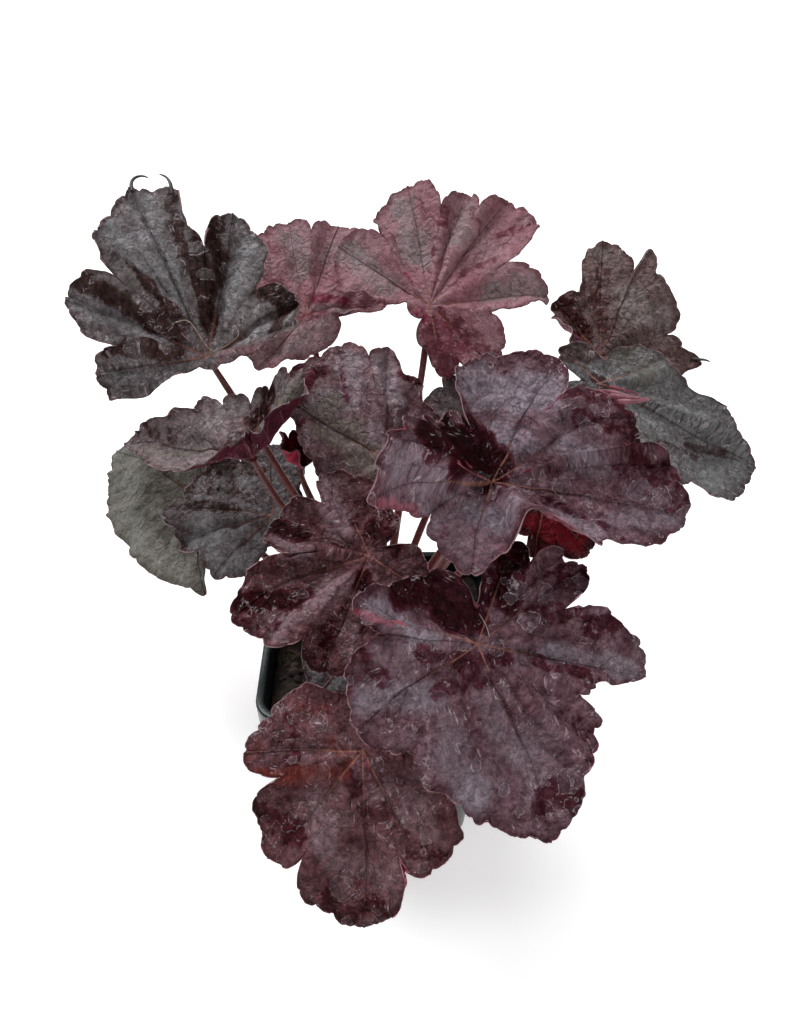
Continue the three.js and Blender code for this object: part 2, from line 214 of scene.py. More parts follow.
def lump(radius: float, seed: int, detail: int) -> Solid:
    """An uneven grain: a ball of triangles pushed in and out.

    Args:
        radius: Its typical radius.
        seed: Seed of its shape.
        detail: How finely the ball is split.

    Returns:
        Its points, round the origin, and its faces.
    """
    form = bmesh.new()
    bmesh.ops.create_icosphere(form, subdivisions=detail + 1, radius=1.0)
    ball = np.array([corner.co for corner in form.verts])
    faces = [tuple(corner.index for corner in face.verts) for face in form.faces]
    form.free()
    return ball * radius * (1 + 0.22 * wander(ball, 1.6, seed))[:, None], faces


def sheet(front: np.ndarray, back: np.ndarray, rows: int, columns: int) -> Solid:
    """A thin closed sheet between two grids of points.

    Args:
        front: Points of its front, row by row.
        back: Points of its back, in the same order.
        rows: Number of rows.
        columns: Number of points in a row.

    Returns:
        Its points and its faces.
    """
    count = rows * columns
    faces: Faces = []
    for row in range(rows - 1):
        for column in range(columns - 1):
            a = row * columns + column
            quad = (a, a + 1, a + columns + 1, a + columns)
            faces += [quad, tuple(i + count for i in quad[::-1])]
    border = list(range(columns)) + [r * columns + columns - 1 for r in range(1, rows)]
    border += [count - 1 - c for c in range(1, columns)] + [r * columns for r in range(rows - 2, 0, -1)]
    for a, b in zip(border, border[1:] + border[:1]):
        faces.append((b, a, a + count, b + count))
    return np.concatenate([front, back]), faces


def show(name: str, data: bpy.types.ID) -> bpy.types.Object:
    """Makes an object and adds it to the scene.

    Args:
        name: Its name.
        data: Its mesh, camera or light.

    Returns:
        The new object.
    """
    thing = bpy.data.objects.new(name, data)
    bpy.context.scene.collection.objects.link(thing)
    return thing


class Stock:
    """Points and faces of a piece while it is being made, in millimetres."""

    def __init__(self, *solids: Solid) -> None:
        """Starts the piece.

        Args:
            *solids: The closed forms that it has from the start.
        """
        self.points: list[np.ndarray] = []
        self.faces: Faces = []
        self.slots: list[int] = []
        self.count = 0
        for solid in solids:
            self.add(*solid)

    def add(self, points: np.ndarray, faces: Faces, slots: Sequence[int] = ()) -> None:
        """Adds a closed form to the piece.

        Args:
            points: Its points, one row each.
            faces: Its faces, by index into those points.
            slots: Which of the piece's materials each face takes, if not all the first.
        """
        self.points.append(np.asarray(points, float))
        self.faces += [tuple(i + self.count for i in face) for face in faces]
        self.slots += slots or [0] * len(faces)
        self.count += len(points)

    def mesh(self, name: str) -> bpy.types.Mesh:
        """Makes the mesh, in metres.

        Args:
            name: Its name.

        Returns:
            The new mesh.
        """
        mesh = bpy.data.meshes.new(name)
        mesh.from_pydata((np.concatenate(self.points) * MM).tolist(), [], self.faces)
        return mesh

    def finish(
        self, name: str, materials: Sequence[bpy.types.Material], nodes: Sequence[str], slot: str,
        crease: float = 50.0, channels: dict[str, np.ndarray] | None = None,
    ) -> bpy.types.Object:
        """Makes the mesh object and enters it in the frame.

        Args:
            name: Name of the piece.
            materials: Its materials, in the order of the faces' slots.
            nodes: The CAD nodes that it stands for.
            slot: The record's material slot; it is not used.
            crease: Angle in degrees from which an edge stays sharp.
            channels: Values kept on the points for the materials, three for each point.

        Returns:
            The new object.
        """
        mesh = self.mesh(name)
        for material in materials:
            mesh.materials.append(material)
        mesh.polygons.foreach_set("material_index", self.slots)
        mesh.polygons.foreach_set("use_smooth", [True] * len(self.faces))
        mesh.set_sharp_from_angle(angle=math.radians(crease))
        for channel, values in (channels or {}).items():
            layer = mesh.attributes.new(channel, "FLOAT_VECTOR", "POINT")
            layer.data.foreach_set("vector", np.asarray(values, np.float32).ravel())
        mesh.update()
        piece = show(name, mesh)
        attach(piece, BODY)
        if nodes:
            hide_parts(*nodes)
        LOG.info("%s: %d faces", name, len(self.faces))
        return piece


# ------------------------------------------------------------------ material helpers


class Signal:
    """A value that flows out of a shader node. Its arithmetic adds more nodes."""

    def __init__(self, recipe: Recipe, socket: bpy.types.NodeSocket) -> None:
        """Keeps the output socket, and the recipe in whose tree it is."""
        self.recipe = recipe
        self.socket = socket

    def twin(self, output: str | int) -> Signal:
        """Returns another output of the same node."""
        return Signal(self.recipe, self.socket.node.outputs[output])

    def math(self, operation: str, other: Input = 0.0) -> Signal:
        """Adds one step of arithmetic, with this value first."""
        return self.recipe.node("Math", 0, {0: self, 1: other}, operation=operation)

    def __add__(self, other: Input) -> Signal:
        """Adds a value to it."""
        return self.math("ADD", other)

    def __sub__(self, other: Input) -> Signal:
        """Takes a value from it."""
        return self.math("SUBTRACT", other)

    def __mul__(self, other: Input) -> Signal:
        """Multiplies it by a value."""
        return self.math("MULTIPLY", other)

    def __truediv__(self, other: Input) -> Signal:
        """Divides it by a value."""
        return self.math("DIVIDE", other)

    def __abs__(self) -> Signal:
        """Drops its sign."""
        return self.math("ABSOLUTE")

    def __invert__(self) -> Signal:
        """Takes it from 1."""
        return self.recipe.node("Math", 0, {0: 1.0, 1: self}, operation="SUBTRACT")

    def clamp(self) -> Signal:
        """Keeps the result of its arithmetic between 0 and 1."""
        self.socket.node.use_clamp = True
        return self

    def rise(self, low: float, high: float) -> Signal:
        """Turns it into 0 at low and 1 at high, with a smooth change between."""
        inputs = {"Value": self, "From Min": low, "From Max": high}
        return self.recipe.node("MapRange", 0, inputs, interpolation_type="SMOOTHSTEP")


class Recipe:
    """The node tree of one material, with short ways to add nodes and to lay colours on."""

    def __init__(self, name: str) -> None:
        """Starts from a plain Principled material without a colour of its own.

        Args:
            name: Name of the material.
        """
        self.material = bpy.data.materials.new(name)
        self.material.use_nodes = True
        self.tree = self.material.node_tree
        self.color: Input = None

    def feed(self, socket: bpy.types.NodeSocket, value: Input) -> None:
        """Links a signal to a socket, or sets the socket's own value.

        Args:
            socket: The input socket.
            value: The signal, a number, a colour or a vector; None leaves the socket alone.
        """
        if isinstance(value, Signal):
            self.tree.links.new(value.socket, socket)
        elif value is not None:
            socket.default_value = (*value, 1.0) if socket.type == "RGBA" else value

    def node(
        self, kind: str, output: str | int, inputs: dict[str | int, Input], **settings: object
    ) -> Signal:
        """Adds a node.

        Args:
            kind: Its type, without the leading ShaderNode.
            output: The name or number of the output that is wanted.
            inputs: What goes into its sockets, by name or number.
            **settings: Its other settings.

        Returns:
            The wanted output.
        """
        node = self.tree.nodes.new("ShaderNode" + kind)
        for setting, value in settings.items():
            setattr(node, setting, value)
        for key, value in inputs.items():
            self.feed(node.inputs[key], value)
        return Signal(self, node.outputs[output])

    def vector(self, operation: str, first: Input, second: Input) -> Signal:
        """Adds one step of arithmetic with two vectors."""
        return self.node("VectorMath", 0, {0: first, 1: second}, operation=operation)

    def split(self, whole: Signal) -> tuple[Signal, Signal, Signal]:
        """Returns the three numbers of a vector or a colour."""
        first = self.node("SeparateColor" if whole.socket.type == "RGBA" else "SeparateXYZ", 0, {0: whole})
        return first, first.twin(1), first.twin(2)

    def channel(self, name: str) -> Signal:
        """Returns a point channel of the mesh, as a vector."""
        return self.node("Attribute", "Vector", {}, attribute_name=name)

    def place(self, stretch: float = 1.0) -> Signal:
        """Returns the place on the piece in millimetres, with its height multiplied."""
        here = self.node("TexCoord", "Object", {})
        return self.vector("MULTIPLY", here, (1 / MM, 1 / MM, stretch / MM))

    def noise(self, vector: Signal, scale: float, detail: float = 3.0, rough: float = 0.5) -> Signal:
        """Adds a cloudy noise and returns its value, whose twin Color has three unlike ones."""
        inputs = {"Vector": vector, "Scale": scale, "Detail": detail, "Roughness": rough}
        return self.node("TexNoise", "Fac", inputs)

    def cells(self, vector: Signal, scale: float, feature: str = "F1") -> Signal:
        """Adds a pattern of cells and returns the distance to a cell's middle, or to its edge."""
        return self.node("TexVoronoi", "Distance", {"Vector": vector, "Scale": scale}, feature=feature)

    def mix(self, amount: Input, first: Input, second: Input, blend: Blend = Blend.OVER) -> Signal:
        """Mixes two colours and returns the result."""
        inputs = {0: amount, 6: first, 7: second}
        return self.node("Mix", 2, inputs, data_type="RGBA", blend_type=blend.value)

    def lay(self, amount: Input, color: Input, blend: Blend = Blend.OVER) -> None:
        """Lays a colour on the ones that are there."""
        self.color = self.mix(amount, self.color, color, blend)

    def dress(self, relief: Signal | None, depth: float, **sockets: Input) -> bpy.types.Material:
        """Gives the shader its colour, its fine relief and its other values.

        Args:
            relief: Height of the relief.
            depth: Depth of the relief in millimetres, for a height of 1.
            **sockets: What goes into the other sockets, with _ for a space in their names.

        Returns:
            The material.
        """
        if relief:
            inputs = {"Height": relief, "Distance": depth * MM, "Strength": 1.0}
            sockets["Normal"] = self.node("Bump", 0, inputs)
        shader = self.tree.nodes["Principled BSDF"]
        for name, value in {"Base_Color": self.color, **sockets}.items():
            self.feed(shader.inputs[name.replace("_", " ")], value)
        return self.material


# ------------------------------------------------------------------ finishes


@dataclass(frozen=True)
class BladeFinish:
    """The colours of a leaf's blade, with its painted sheen and shade, and how strong its marks are."""

    name: str
    slot: Slot
    dark: Color
    light: Color
    # the leaf's pale bloom, together with painted sheen
    bloom_and_sheen: Color
    # the same darkening paints real dark stains and painted shade in cups, folds and creases
    stain_and_shade: Color = (0.34, 0.08, 0.13)  # what is left of each colour under a dark stain
    warm: Color = (0.3, 0.075, 0.11)
    # colour of the line along the rim; a pale one paints the highlight on the rim's fine hairs
    margin: Color = (0.36, 0.2, 0.22)
    under: Color = (0.26, 0.035, 0.07)
    under_vein: Color = (0.36, 0.1, 0.13)
    bloom_and_sheen_share: float = 0.35
    stain_share: float = 0.5
    residue: float = 0.55  # strength of the outlines that water left
    # contrast scales the fine mottling together with its painted shade and light
    contrast: float = 1.0  # strength of the fine mottling

    def materials(self) -> tuple[bpy.types.Material, ...]:
        """Makes the materials of the upper face, the underside and the cut edge between them."""
        return UpperSkin(self).paint(), self._underside(), self._edge()

    def _underside(self) -> bpy.types.Material:
        """The underside: its own red, with pale raised veins.

        Returns:
            The material.
        """
        r = Recipe("leaf_under_" + self.name)
        place = r.channel("place")
        across, along, _ = r.split(r.channel("vein"))
        mottle = r.noise(place, 0.2, 4.0, 0.6)
        r.color = r.mix(mottle.rise(0.35, 0.65), tuple(0.45 * c for c in self.under), self.under)
        r.lay(~across.rise(0.4, 1.0) * 0.75, self.under_vein)
        side = side_vein(along - across * SIDE_VEIN_SLANT)
        r.lay(~side.rise(0.03, 0.16) * 0.4, self.under_vein)
        net = r.cells(place, 0.5, "DISTANCE_TO_EDGE")
        return r.dress(mottle * 0.8 - net.rise(0.0, 0.2), 0.3, Roughness=0.5, Specular_IOR_Level=0.14)

    def _edge(self) -> bpy.types.Material:
        """The cut edge between the two faces: pale in places, a painted highlight on its fine hairs, and
        nearly black elsewhere.

        Returns:
            The material.
        """
        r = Recipe("leaf_rim_" + self.name)
        # pale in places: painted highlight on the rim's fine hairs
        pale = r.noise(r.channel("place"), 0.09).rise(0.42, 0.6) * 0.7
        r.color = r.mix(pale, (0.03, 0.01, 0.014), self.margin)
        return r.dress(None, 0.0, Roughness=0.55)


def side_vein(slant: Signal) -> Signal:
    """Returns a wave that is 0 on each side vein, from the distance along a main vein."""
    return abs((slant * (math.pi / SIDE_VEIN_PITCH)).math("SINE"))


class UpperSkin(Recipe):
    """The upper face of a blade, painted layer upon layer.

    The channels place, vein and wash give each point's place on the blade in millimetres,
    its distances from the vein, the stalk and the rim, and the strength of its patches.
    """

    # painted glints: small pale spots that stand for glossy highlights
    painted_glint: Color = (0.42, 0.37, 0.4)
    speck: Color = (0.5, 0.44, 0.45)
    stain_lip: Color = (0.34, 0.26, 0.29)
    # pale dashes along the veins that paint highlights on fine wrinkles
    wrinkle_highlight: Color = (0.46, 0.37, 0.4)
    water_mark: Color = (0.44, 0.37, 0.39)
    vein: Color = (0.03, 0.012, 0.012)
    vein_root: Color = (0.27, 0.115, 0.085)
    faint_vein: Color = (0.02, 0.008, 0.01)

    def __init__(self, finish: BladeFinish) -> None:
        """Sets up the channels and the noises that the layers share.

        Args:
            finish: The blade's colours.
        """
        super().__init__("leaf_" + finish.name)
        self.finish = finish
        self.spot = self.channel("place")
        self.across, self.along, self.margin = self.split(self.channel("vein"))
        self.bloom_and_sheen, self.maroon, self.warm = self.split(self.channel("wash"))
        self.broad = self._fields(0.055, 3.0, 0.5)
        self.mottle = self._fields(0.22, 5.0, 0.66)
        self.grain = self._fields(1.1, 3.0, 0.6)
        self.crisp = self._fields(0.42, 4.0, 0.56)
        self.rugged = self.mottle[2] * 1.3 + self.crisp[1] * 1.3 - 1.3
        push = self.noise(self.spot, 0.25, 2.0).twin("Color")
        self.bent = self.vector("ADD", self.spot, self.vector("MULTIPLY", push, (4.0, 4.0, 4.0)))
        self.net = self.cells(self.bent, 0.27, "DISTANCE_TO_EDGE")

    def _fields(self, scale: float, detail: float, rough: float) -> tuple[Signal, Signal, Signal]:
        """Adds a cloudy noise over the blade and returns its three unlike values."""
        return self.split(self.noise(self.spot, scale, detail, rough).twin("Color"))

    def paint(self) -> bpy.types.Material:
        """Lays the layers on, from the ground to the pale margin and the fine painted shade, with painted
        sheen, highlights and shade among them.

        Returns:
            The material.
        """
        finish, broad, mottle, grain, crisp = self.finish, self.broad, self.mottle, self.grain, self.crisp
        # the ground follows the same mottle as the relief, so its bumps are painted lighter and its hollows
        # darker
        tone = broad[0].rise(0.34, 0.66) * 0.44 + mottle[0].rise(0.34, 0.66) * 0.4
        self.color = self.mix(tone + grain[1].rise(0.3, 0.7) * 0.16, finish.dark, finish.light)
        # pale bloom with painted sheen, in broad clouds and in the pale washes
        cloud = broad[1].rise(0.4, 0.68) * finish.bloom_and_sheen_share + self.bloom_and_sheen
        self.lay((cloud * (self.rugged * 1.2 + 0.78)).clamp(), finish.bloom_and_sheen)
        deep = self._stain_and_shade()
        self.lay((self.warm * (self.rugged + 0.75)).clamp(), finish.warm)
        brink = ~(self.margin - mottle[2] * 5.0).rise(-2.0, 1.5)
        self.lay(brink * 0.6, finish.stain_and_shade, Blend.TINT)
        # painted shade along the creases of the fine net, which the relief sinks
        crease = ~self.net.rise(0.0, 0.06) * mottle[1].rise(0.4, 0.6)
        self.lay(crease * 0.55, finish.stain_and_shade, Blend.TINT)
        rings = self._leave_water_marks()
        # painted highlights: pale dashes along the veins where fine wrinkles catch the light
        flow = self.node("CombineXYZ", 0, {0: self.across, 1: self.along * 0.22})
        highlight_dash = self.noise(flow, 0.85, 3.0, 0.6).rise(0.6, 0.68) * broad[2].rise(0.5, 0.6)
        self.lay(highlight_dash * 0.6, self.wrinkle_highlight)
        self._draw_veins()
        # painted glints, most in the dark stains
        self.lay(grain[2].rise(0.66, 0.76) * (deep * 0.25 + 0.12), self.painted_glint)
        speck = self.cells(self.spot, 0.36)
        chosen = self.split(speck.twin("Color"))[0].rise(0.7, 0.75)
        self.lay(~speck.rise(0.05, 0.11) * chosen * 0.6, self.speck)
        # a pale line along the rim in places: painted highlight on the rim's fine hairs
        self.lay(~self.margin.rise(0.1, 0.42) * mottle[1].rise(0.42, 0.56), finish.margin)
        # fine shade from the same noises as the fine relief: the leaf's own fine mottling, with painted
        # shade in the hollows and painted light on the bumps
        shade = grain[0].rise(0.3, 0.7) * 0.4 + crisp[0].rise(0.36, 0.64) * 0.46 - 0.43
        shade = shade * finish.contrast + 1.0
        self.lay(1.0, self.node("CombineColor", 0, {0: shade, 1: shade, 2: shade}), Blend.TINT)
        relief = mottle[0] * 4.4 + rings * 0.3 + grain[0] * 0.8 + crisp[0] * 2.2
        relief = relief + self.net.rise(0.0, 0.3) * 1.5
        return self.dress(relief, 0.36, Roughness=mottle[1] * 0.3 + 0.3, Specular_IOR_Level=0.06)

    def _stain_and_shade(self) -> Signal:
        """Lays on the dark stains, which are partly painted shade in cups, folds and under overlying leaves,
        ragged at their borders, with a broken pale line there.

        Returns:
            How deep the stain is.
        """
        shaped = (self.maroon + self.rugged * 0.9).rise(0.0, 0.95) * self.maroon.rise(0.02, 0.3)
        clouds = (self.broad[2] + self.rugged).rise(0.4, 0.8) * self.finish.stain_share
        deep = (clouds + shaped).clamp()
        self.lay(deep * 0.95, self.finish.stain_and_shade, Blend.TINT)
        # painted shade: a second darkening where the stain washes are strongest, as in the cup of the
        # centre-right blade
        deepest_shade = (self.maroon + self.rugged * 1.2).rise(0.9, 1.5)
        self.lay(deepest_shade * 0.95, self.finish.stain_and_shade, Blend.TINT)
        lip = ~abs(deep - 0.4).rise(0.0, 0.09) * self.grain[1].rise(0.5, 0.6)
        self.lay(lip * 0.3, self.stain_lip)
        return deep

    def _leave_water_marks(self) -> Signal:
        """Lays on the pale outlines that drops and pools of water leave as they dry.

        Returns:
            The strength of the outlines.
        """
        outlines = []
        for scale, width, share in ((0.1, 0.022, 0.66), (0.2, 0.035, 0.78)):
            drop = self.cells(self.bent, scale)
            draw = self.split(drop.twin("Color"))
            chosen = draw[1].rise(share, share + 0.02)
            inside = draw[0] * 0.25 + 0.2 - drop
            outlines.append(~abs(inside).rise(width * 0.3, width) * chosen)
            self.lay(inside.rise(0.0, 0.05) * chosen * 0.15, self.finish.bloom_and_sheen)
        lines = (outlines[0] + outlines[1]).clamp() * self.grain[2].rise(0.36, 0.56)
        level = self.noise(self.bent, 0.075, 3.0, 0.55) * 7.0
        pool = ~level.math("PINGPONG", 0.5).rise(0.03, 0.09) * self.broad[0].rise(0.5, 0.6)
        lines = (lines + pool * self.grain[2].rise(0.4, 0.55)).clamp()
        self.lay(lines * self.finish.residue, self.water_mark)
        return lines

    def _draw_veins(self) -> None:
        """Draws the main veins, tan near the stalk and dark beyond, and faint side veins."""
        near = ~self.along.rise(5.0, 30.0)
        line = ~(self.across / (near * 0.12 + 0.13)).rise(0.7, 1.9)
        self.lay(line * (near * 0.25 + 0.5), self.mix(near, self.vein, self.vein_root))
        side = side_vein(self.along - self.across * SIDE_VEIN_SLANT + self.mottle[0] * 6.0)
        side = ~side.rise(0.0, 0.09) * self.across.rise(0.1, 0.8) * ~self.across.rise(4.0, 12.0)
        self.lay(side * 0.5, self.faint_vein)


@dataclass(frozen=True)
class BarkFinish:
    """A rough mottled natural surface, such as a dry sheath, soil, moss or bark."""

    name: str
    dark: Color
    light: Color
    scale: float
    relief: float
    roughness: float
    stretch: float = 1.0

    def material(self) -> bpy.types.Material:
        """Builds the material.

        Returns:
            The material.
        """
        r = Recipe(self.name)
        place = r.place(self.stretch)
        broad = r.noise(place, self.scale, 4.0, 0.6)
        fine = r.noise(place, self.scale * 7.0)
        amount = (broad.rise(0.36, 0.66) + (fine - 0.5) * 0.7).clamp()
        r.color = r.mix(amount, self.dark, self.light)
        roughness = fine * 0.25 + (self.roughness - 0.12)
        return r.dress(broad * 1.5 + fine * 0.5, self.relief, Roughness=roughness)


@dataclass(frozen=True)
class StalkFinish:
    """A leaf stalk: dark brown red above, paler and pinker towards the crown."""

    name: str = "stalk_skin"
    foot: Color = (0.2, 0.045, 0.04)
    top: Color = (0.07, 0.012, 0.011)
    fleck: Color = (0.42, 0.22, 0.16)

    def material(self) -> bpy.types.Material:
        """Builds the material.

        Returns:
            The material.
        """
        r = Recipe(self.name)
        height, _, _ = r.split(r.channel("place"))
        streak = r.noise(r.place(0.12), 1.3)
        amount = (height.rise(0.05, 0.75) + (streak - 0.5) * 0.8).clamp()
        r.color = r.mix(amount, self.foot, self.top)
        r.lay(r.noise(r.place(), 2.5, 2.0).rise(0.58, 0.7) * 0.5, self.fleck)
        return r.dress(streak, 0.12, Roughness=0.4, Specular_IOR_Level=0.3)


@dataclass(frozen=True)
class PlasticFinish:
    """Thin moulded plastic, with dust in its fine texture and dried water marks."""

    name: str = "pot_plastic"
    base: Color = (0.004, 0.01, 0.011)
    dust: Color = (0.05, 0.06, 0.058)

    def material(self) -> bpy.types.Material:
        """Builds the material.

        Returns:
            The material.
        """
        r = Recipe(self.name)
        place = r.place()
        cloud = r.noise(place, 0.05, 5.0, 0.65)
        marks = r.noise(r.place(0.1), 0.35, 4.0).rise(0.52, 0.7)
        dusty = cloud.rise(0.45, 0.75) * (marks + 0.35)
        r.color = r.mix(dusty * 0.35, self.base, self.dust)
        relief = r.noise(place, 2.2, 2.0) * 0.3 + cloud
        return r.dress(relief, 0.05, Roughness=dusty * 0.35 + 0.26, Specular_IOR_Level=0.32)


@dataclass(frozen=True)
class StageFinish:
    """The floor: matt, nearly white paper with a faint tooth, lit a little from below."""

    glow: float
    tone: Color = (0.93, 0.93, 0.93)

    def material(self) -> bpy.types.Material:
        """Builds the material.

        Returns:
            The material.
        """
        r = Recipe("floor_paper")
        cloud = r.noise(r.place(), 0.02, 2.0)
        r.color = r.mix(cloud * 0.3, self.tone, tuple(0.98 * c for c in self.tone))
        white = (1.0, 1.0, 1.0)
        light = {"Emission_Color": white, "Emission_Strength": self.glow}
        return r.dress(None, 0.0, Roughness=0.9, Specular_IOR_Level=0.1, **light)


class Skin(Enum):
    """The finishes of the plant's blades."""

    PLUM = BladeFinish("plum", Slot.PLUM, (0.045, 0.012, 0.018), (0.195, 0.106, 0.128), (0.25, 0.208, 0.243))
    GREY_GREEN = BladeFinish(
        "grey_green", Slot.GREY, (0.05, 0.037, 0.036), (0.18, 0.165, 0.17), (0.26, 0.26, 0.27),
        stain_and_shade=(0.3, 0.15, 0.13),
    )
    ROSE = BladeFinish(
        "rose", Slot.ROSE, (0.265, 0.112, 0.13), (0.335, 0.185, 0.21), (0.245, 0.195, 0.2),
        stain_and_shade=(0.42, 0.2, 0.25), warm=(0.16, 0.003, 0.03), margin=(0.11, 0.03, 0.04), stain_share=0.3,
        residue=0.3, contrast=0.5,
    )
    RUSSET = BladeFinish(
        "russet", Slot.PLUM, (0.032, 0.006, 0.008), (0.17, 0.073, 0.08), (0.235, 0.165, 0.185),
        warm=(0.15, 0.026, 0.018), bloom_and_sheen_share=0.3, stain_share=0.65, residue=0.4,
    )
    CRIMSON = BladeFinish(
        "crimson", Slot.ROSE, (0.02, 0.0004, 0.001), (0.05, 0.001, 0.003), (0.12, 0.03, 0.04),
        warm=(0.13, 0.003, 0.008), under=(0.4, 0.03, 0.07), bloom_and_sheen_share=0.1, residue=0.1,
    )
    PALE = BladeFinish(
        "pale", Slot.GREY, (0.055, 0.05, 0.043), (0.125, 0.116, 0.103), (0.26, 0.256, 0.228),
        stain_and_shade=(0.42, 0.38, 0.34), warm=(0.2, 0.192, 0.168), stain_share=0.15, residue=0.12, contrast=0.5,
    )
    OLIVE = BladeFinish(
        "olive", Slot.PLUM, (0.07, 0.024, 0.031), (0.275, 0.183, 0.197), (0.27, 0.225, 0.25),
        warm=(0.15, 0.13, 0.105),
    )
    BRONZE = BladeFinish(
        "bronze", Slot.GREY, (0.07, 0.037, 0.035), (0.205, 0.143, 0.14), (0.225, 0.2, 0.195),
        stain_and_shade=(0.4, 0.2, 0.18), warm=(0.1, 0.012, 0.028), under=(0.16, 0.012, 0.04),
        under_vein=(0.22, 0.04, 0.07), residue=0.2,
    )
    SAGE = BladeFinish(
        "sage", Slot.GREY, (0.075, 0.068, 0.068), (0.16, 0.157, 0.16), (0.22, 0.225, 0.23),
        stain_and_shade=(0.35, 0.2, 0.2), warm=(0.14, 0.13, 0.1), stain_share=0.3, residue=0.65,
    )
    FOLDED = BladeFinish(
        "folded", Slot.PLUM, (0.14, 0.1, 0.105), (0.29, 0.22, 0.232), (0.22, 0.2, 0.205),
        stain_and_shade=(0.3, 0.15, 0.15), warm=(0.17, 0.155, 0.12), under=(0.075, 0.006, 0.018),
        under_vein=(0.17, 0.07, 0.08),
    )
    DUSKY = BladeFinish(
        "dusky", Slot.GREY, (0.07, 0.053, 0.05), (0.195, 0.172, 0.176), (0.235, 0.23, 0.24),
        stain_and_shade=(0.24, 0.11, 0.1), warm=(0.2, 0.1, 0.115), under=(0.24, 0.13, 0.15),
        under_vein=(0.33, 0.21, 0.22),
    )


# ------------------------------------------------------------------ the leaves


class Tone(Enum):
    """What a soft patch of colour on a blade is, by its place in the wash channel."""

    BLOOM_AND_SHEEN = 0
    MAROON = 1
    WARM = 2


@dataclass(frozen=True)
class Wash:
    """A soft patch of colour along a stroke on a blade.

    Each end of the stroke is an angle from the midrib and a reach from the stalk, and the
    radius is how far the patch spreads to each side of it.
    """

    tone: Tone
    start: tuple[float, float]
    end: tuple[float, float]
    radius: float
    strength: float = 0.8


def bloom_and_sheen(*stroke: float) -> Wash:
    """A pale patch, the leaf's bloom with painted sheen and painted light on lit folds: angle and reach of
    its stroke's two ends, its radius and its strength.
    """
    return Wash(Tone.BLOOM_AND_SHEEN, stroke[0:2], stroke[2:4], *stroke[4:])


def stain_and_shade(*stroke: float) -> Wash:
    """A dark maroon patch, partly a real stain and partly painted shade in cups, folds and under overlying
    leaves, given like a pale one.
    """
    return Wash(Tone.MAROON, stroke[0:2], stroke[2:4], *stroke[4:])


def blush(*stroke: float) -> Wash:
    """A warm patch, given like a pale one."""
    return Wash(Tone.WARM, stroke[0:2], stroke[2:4], *stroke[4:])


@dataclass(frozen=True)
class Overlap:
    """A line on a blade where one lobe lies over the next, which makes a small step.

    The left side of the line from its start to its end is the raised one, and it sinks
    back over the given width.
    """

    start: tuple[float, float]
    end: tuple[float, float]
    height: float = 1.6
    width: float = 9.0


@dataclass(frozen=True)
class Curl:
    """A stretch of rim, between two angles, that curls up by a turn in degrees."""

    start: float
    end: float
    width: float
    turn: float


@dataclass(frozen=True)
class Leaf:
    """One leaf: where its stalk meets its blade, how the blade lies, and its rim.

    The heading is the compass direction of the midrib in degrees from +X, the pitch its
    rise, the roll the blade's turn about it, and the droop its bend in degrees for each
    centimetre outwards. The root is the stalk's angle and radius on the crown and how far
    it leans out. Each rim entry is a lobe tip or a notch, or a point between: angle from
    the midrib, reach, and how steeply the blade leaves the stalk there. Fold and teeth
    scale its relief and its rim. Each bite is a narrow cleft in the rim, by its angle and
    depth.
    """

    name: str
    skin: Skin
    at: Point
    heading: float
    pitch: float
    roll: float
    droop: float
    root: tuple[float, float, float]
    rim: tuple[Point, ...]
    fold: float = 0.11
    teeth: float = 1.0
    bites: tuple[tuple[float, float], ...] = ()
    overlaps: tuple[Overlap, ...] = ()
    curls: tuple[Curl, ...] = ()
    washes: tuple[Wash, ...] = ()

    def turn(self) -> np.ndarray:
        """Returns the blade's rotation as a 3 by 3 array."""
        angles = (math.radians(self.roll), -math.radians(self.pitch), math.radians(self.heading))
        return np.array(Euler(angles, "XYZ").to_matrix())

    def rim_at(self, angles: np.ndarray) -> tuple[np.ndarray, np.ndarray]:
        """Reach and lift of the rim, round at a lobe's tip and sharp in a deeper notch.

        Args:
            angles: Angles from the midrib in degrees, from -180 to 180.

        Returns:
            The reach in millimetres and the lift in degrees at each angle.
        """
        first = self.rim[0]
        table = np.array([*self.rim, (first[0] + 360, first[1], first[2])], float)
        count = len(self.rim)
        here = np.clip(np.searchsorted(table[:, 0], angles, side="right") - 1, 0, count - 1)
        start, end = table[here], table[here + 1]
        u = (angles - start[:, 0]) / (end[:, 0] - start[:, 0])
        before = table[(here + count - 1) % count, 1]
        after = table[(here + 2) % (count + 1), 1]
        soft = u * u * (3 - 2 * u)
        blend = soft.copy()
        from_notch = (start[:, 1] < before) & (start[:, 1] < end[:, 1])
        to_notch = (end[:, 1] < after) & (end[:, 1] < start[:, 1])
        blend[from_notch] = np.sin(u * math.pi / 2)[from_notch] ** 0.6
        blend[to_notch] = 1 - np.sin((1 - u) * math.pi / 2)[to_notch] ** 0.6
        reach = start[:, 1] + (end[:, 1] - start[:, 1]) * blend
        return reach, start[:, 2] + (end[:, 2] - start[:, 2]) * soft

    def point(self, angle: np.ndarray, distance: np.ndarray, lift: np.ndarray) -> np.ndarray:
        """Points of the blade's middle surface in the blade's own axes.

        Args:
            angle: Angle from the midrib, in degrees.
            distance: Distance from the stalk along the surface, in millimetres.
            lift: How steeply the surface leaves the stalk there, in degrees.

        Returns:
            The points, with their coordinates last.
        """
        start = np.radians(lift)
        turn = math.radians(self.droop / 10)
        end = start + turn * distance
        out = (np.sin(end) - np.sin(start)) / turn
        up = (np.cos(start) - np.cos(end)) / turn
        return np.concatenate([polar(angle, out), up[..., None]], -1)


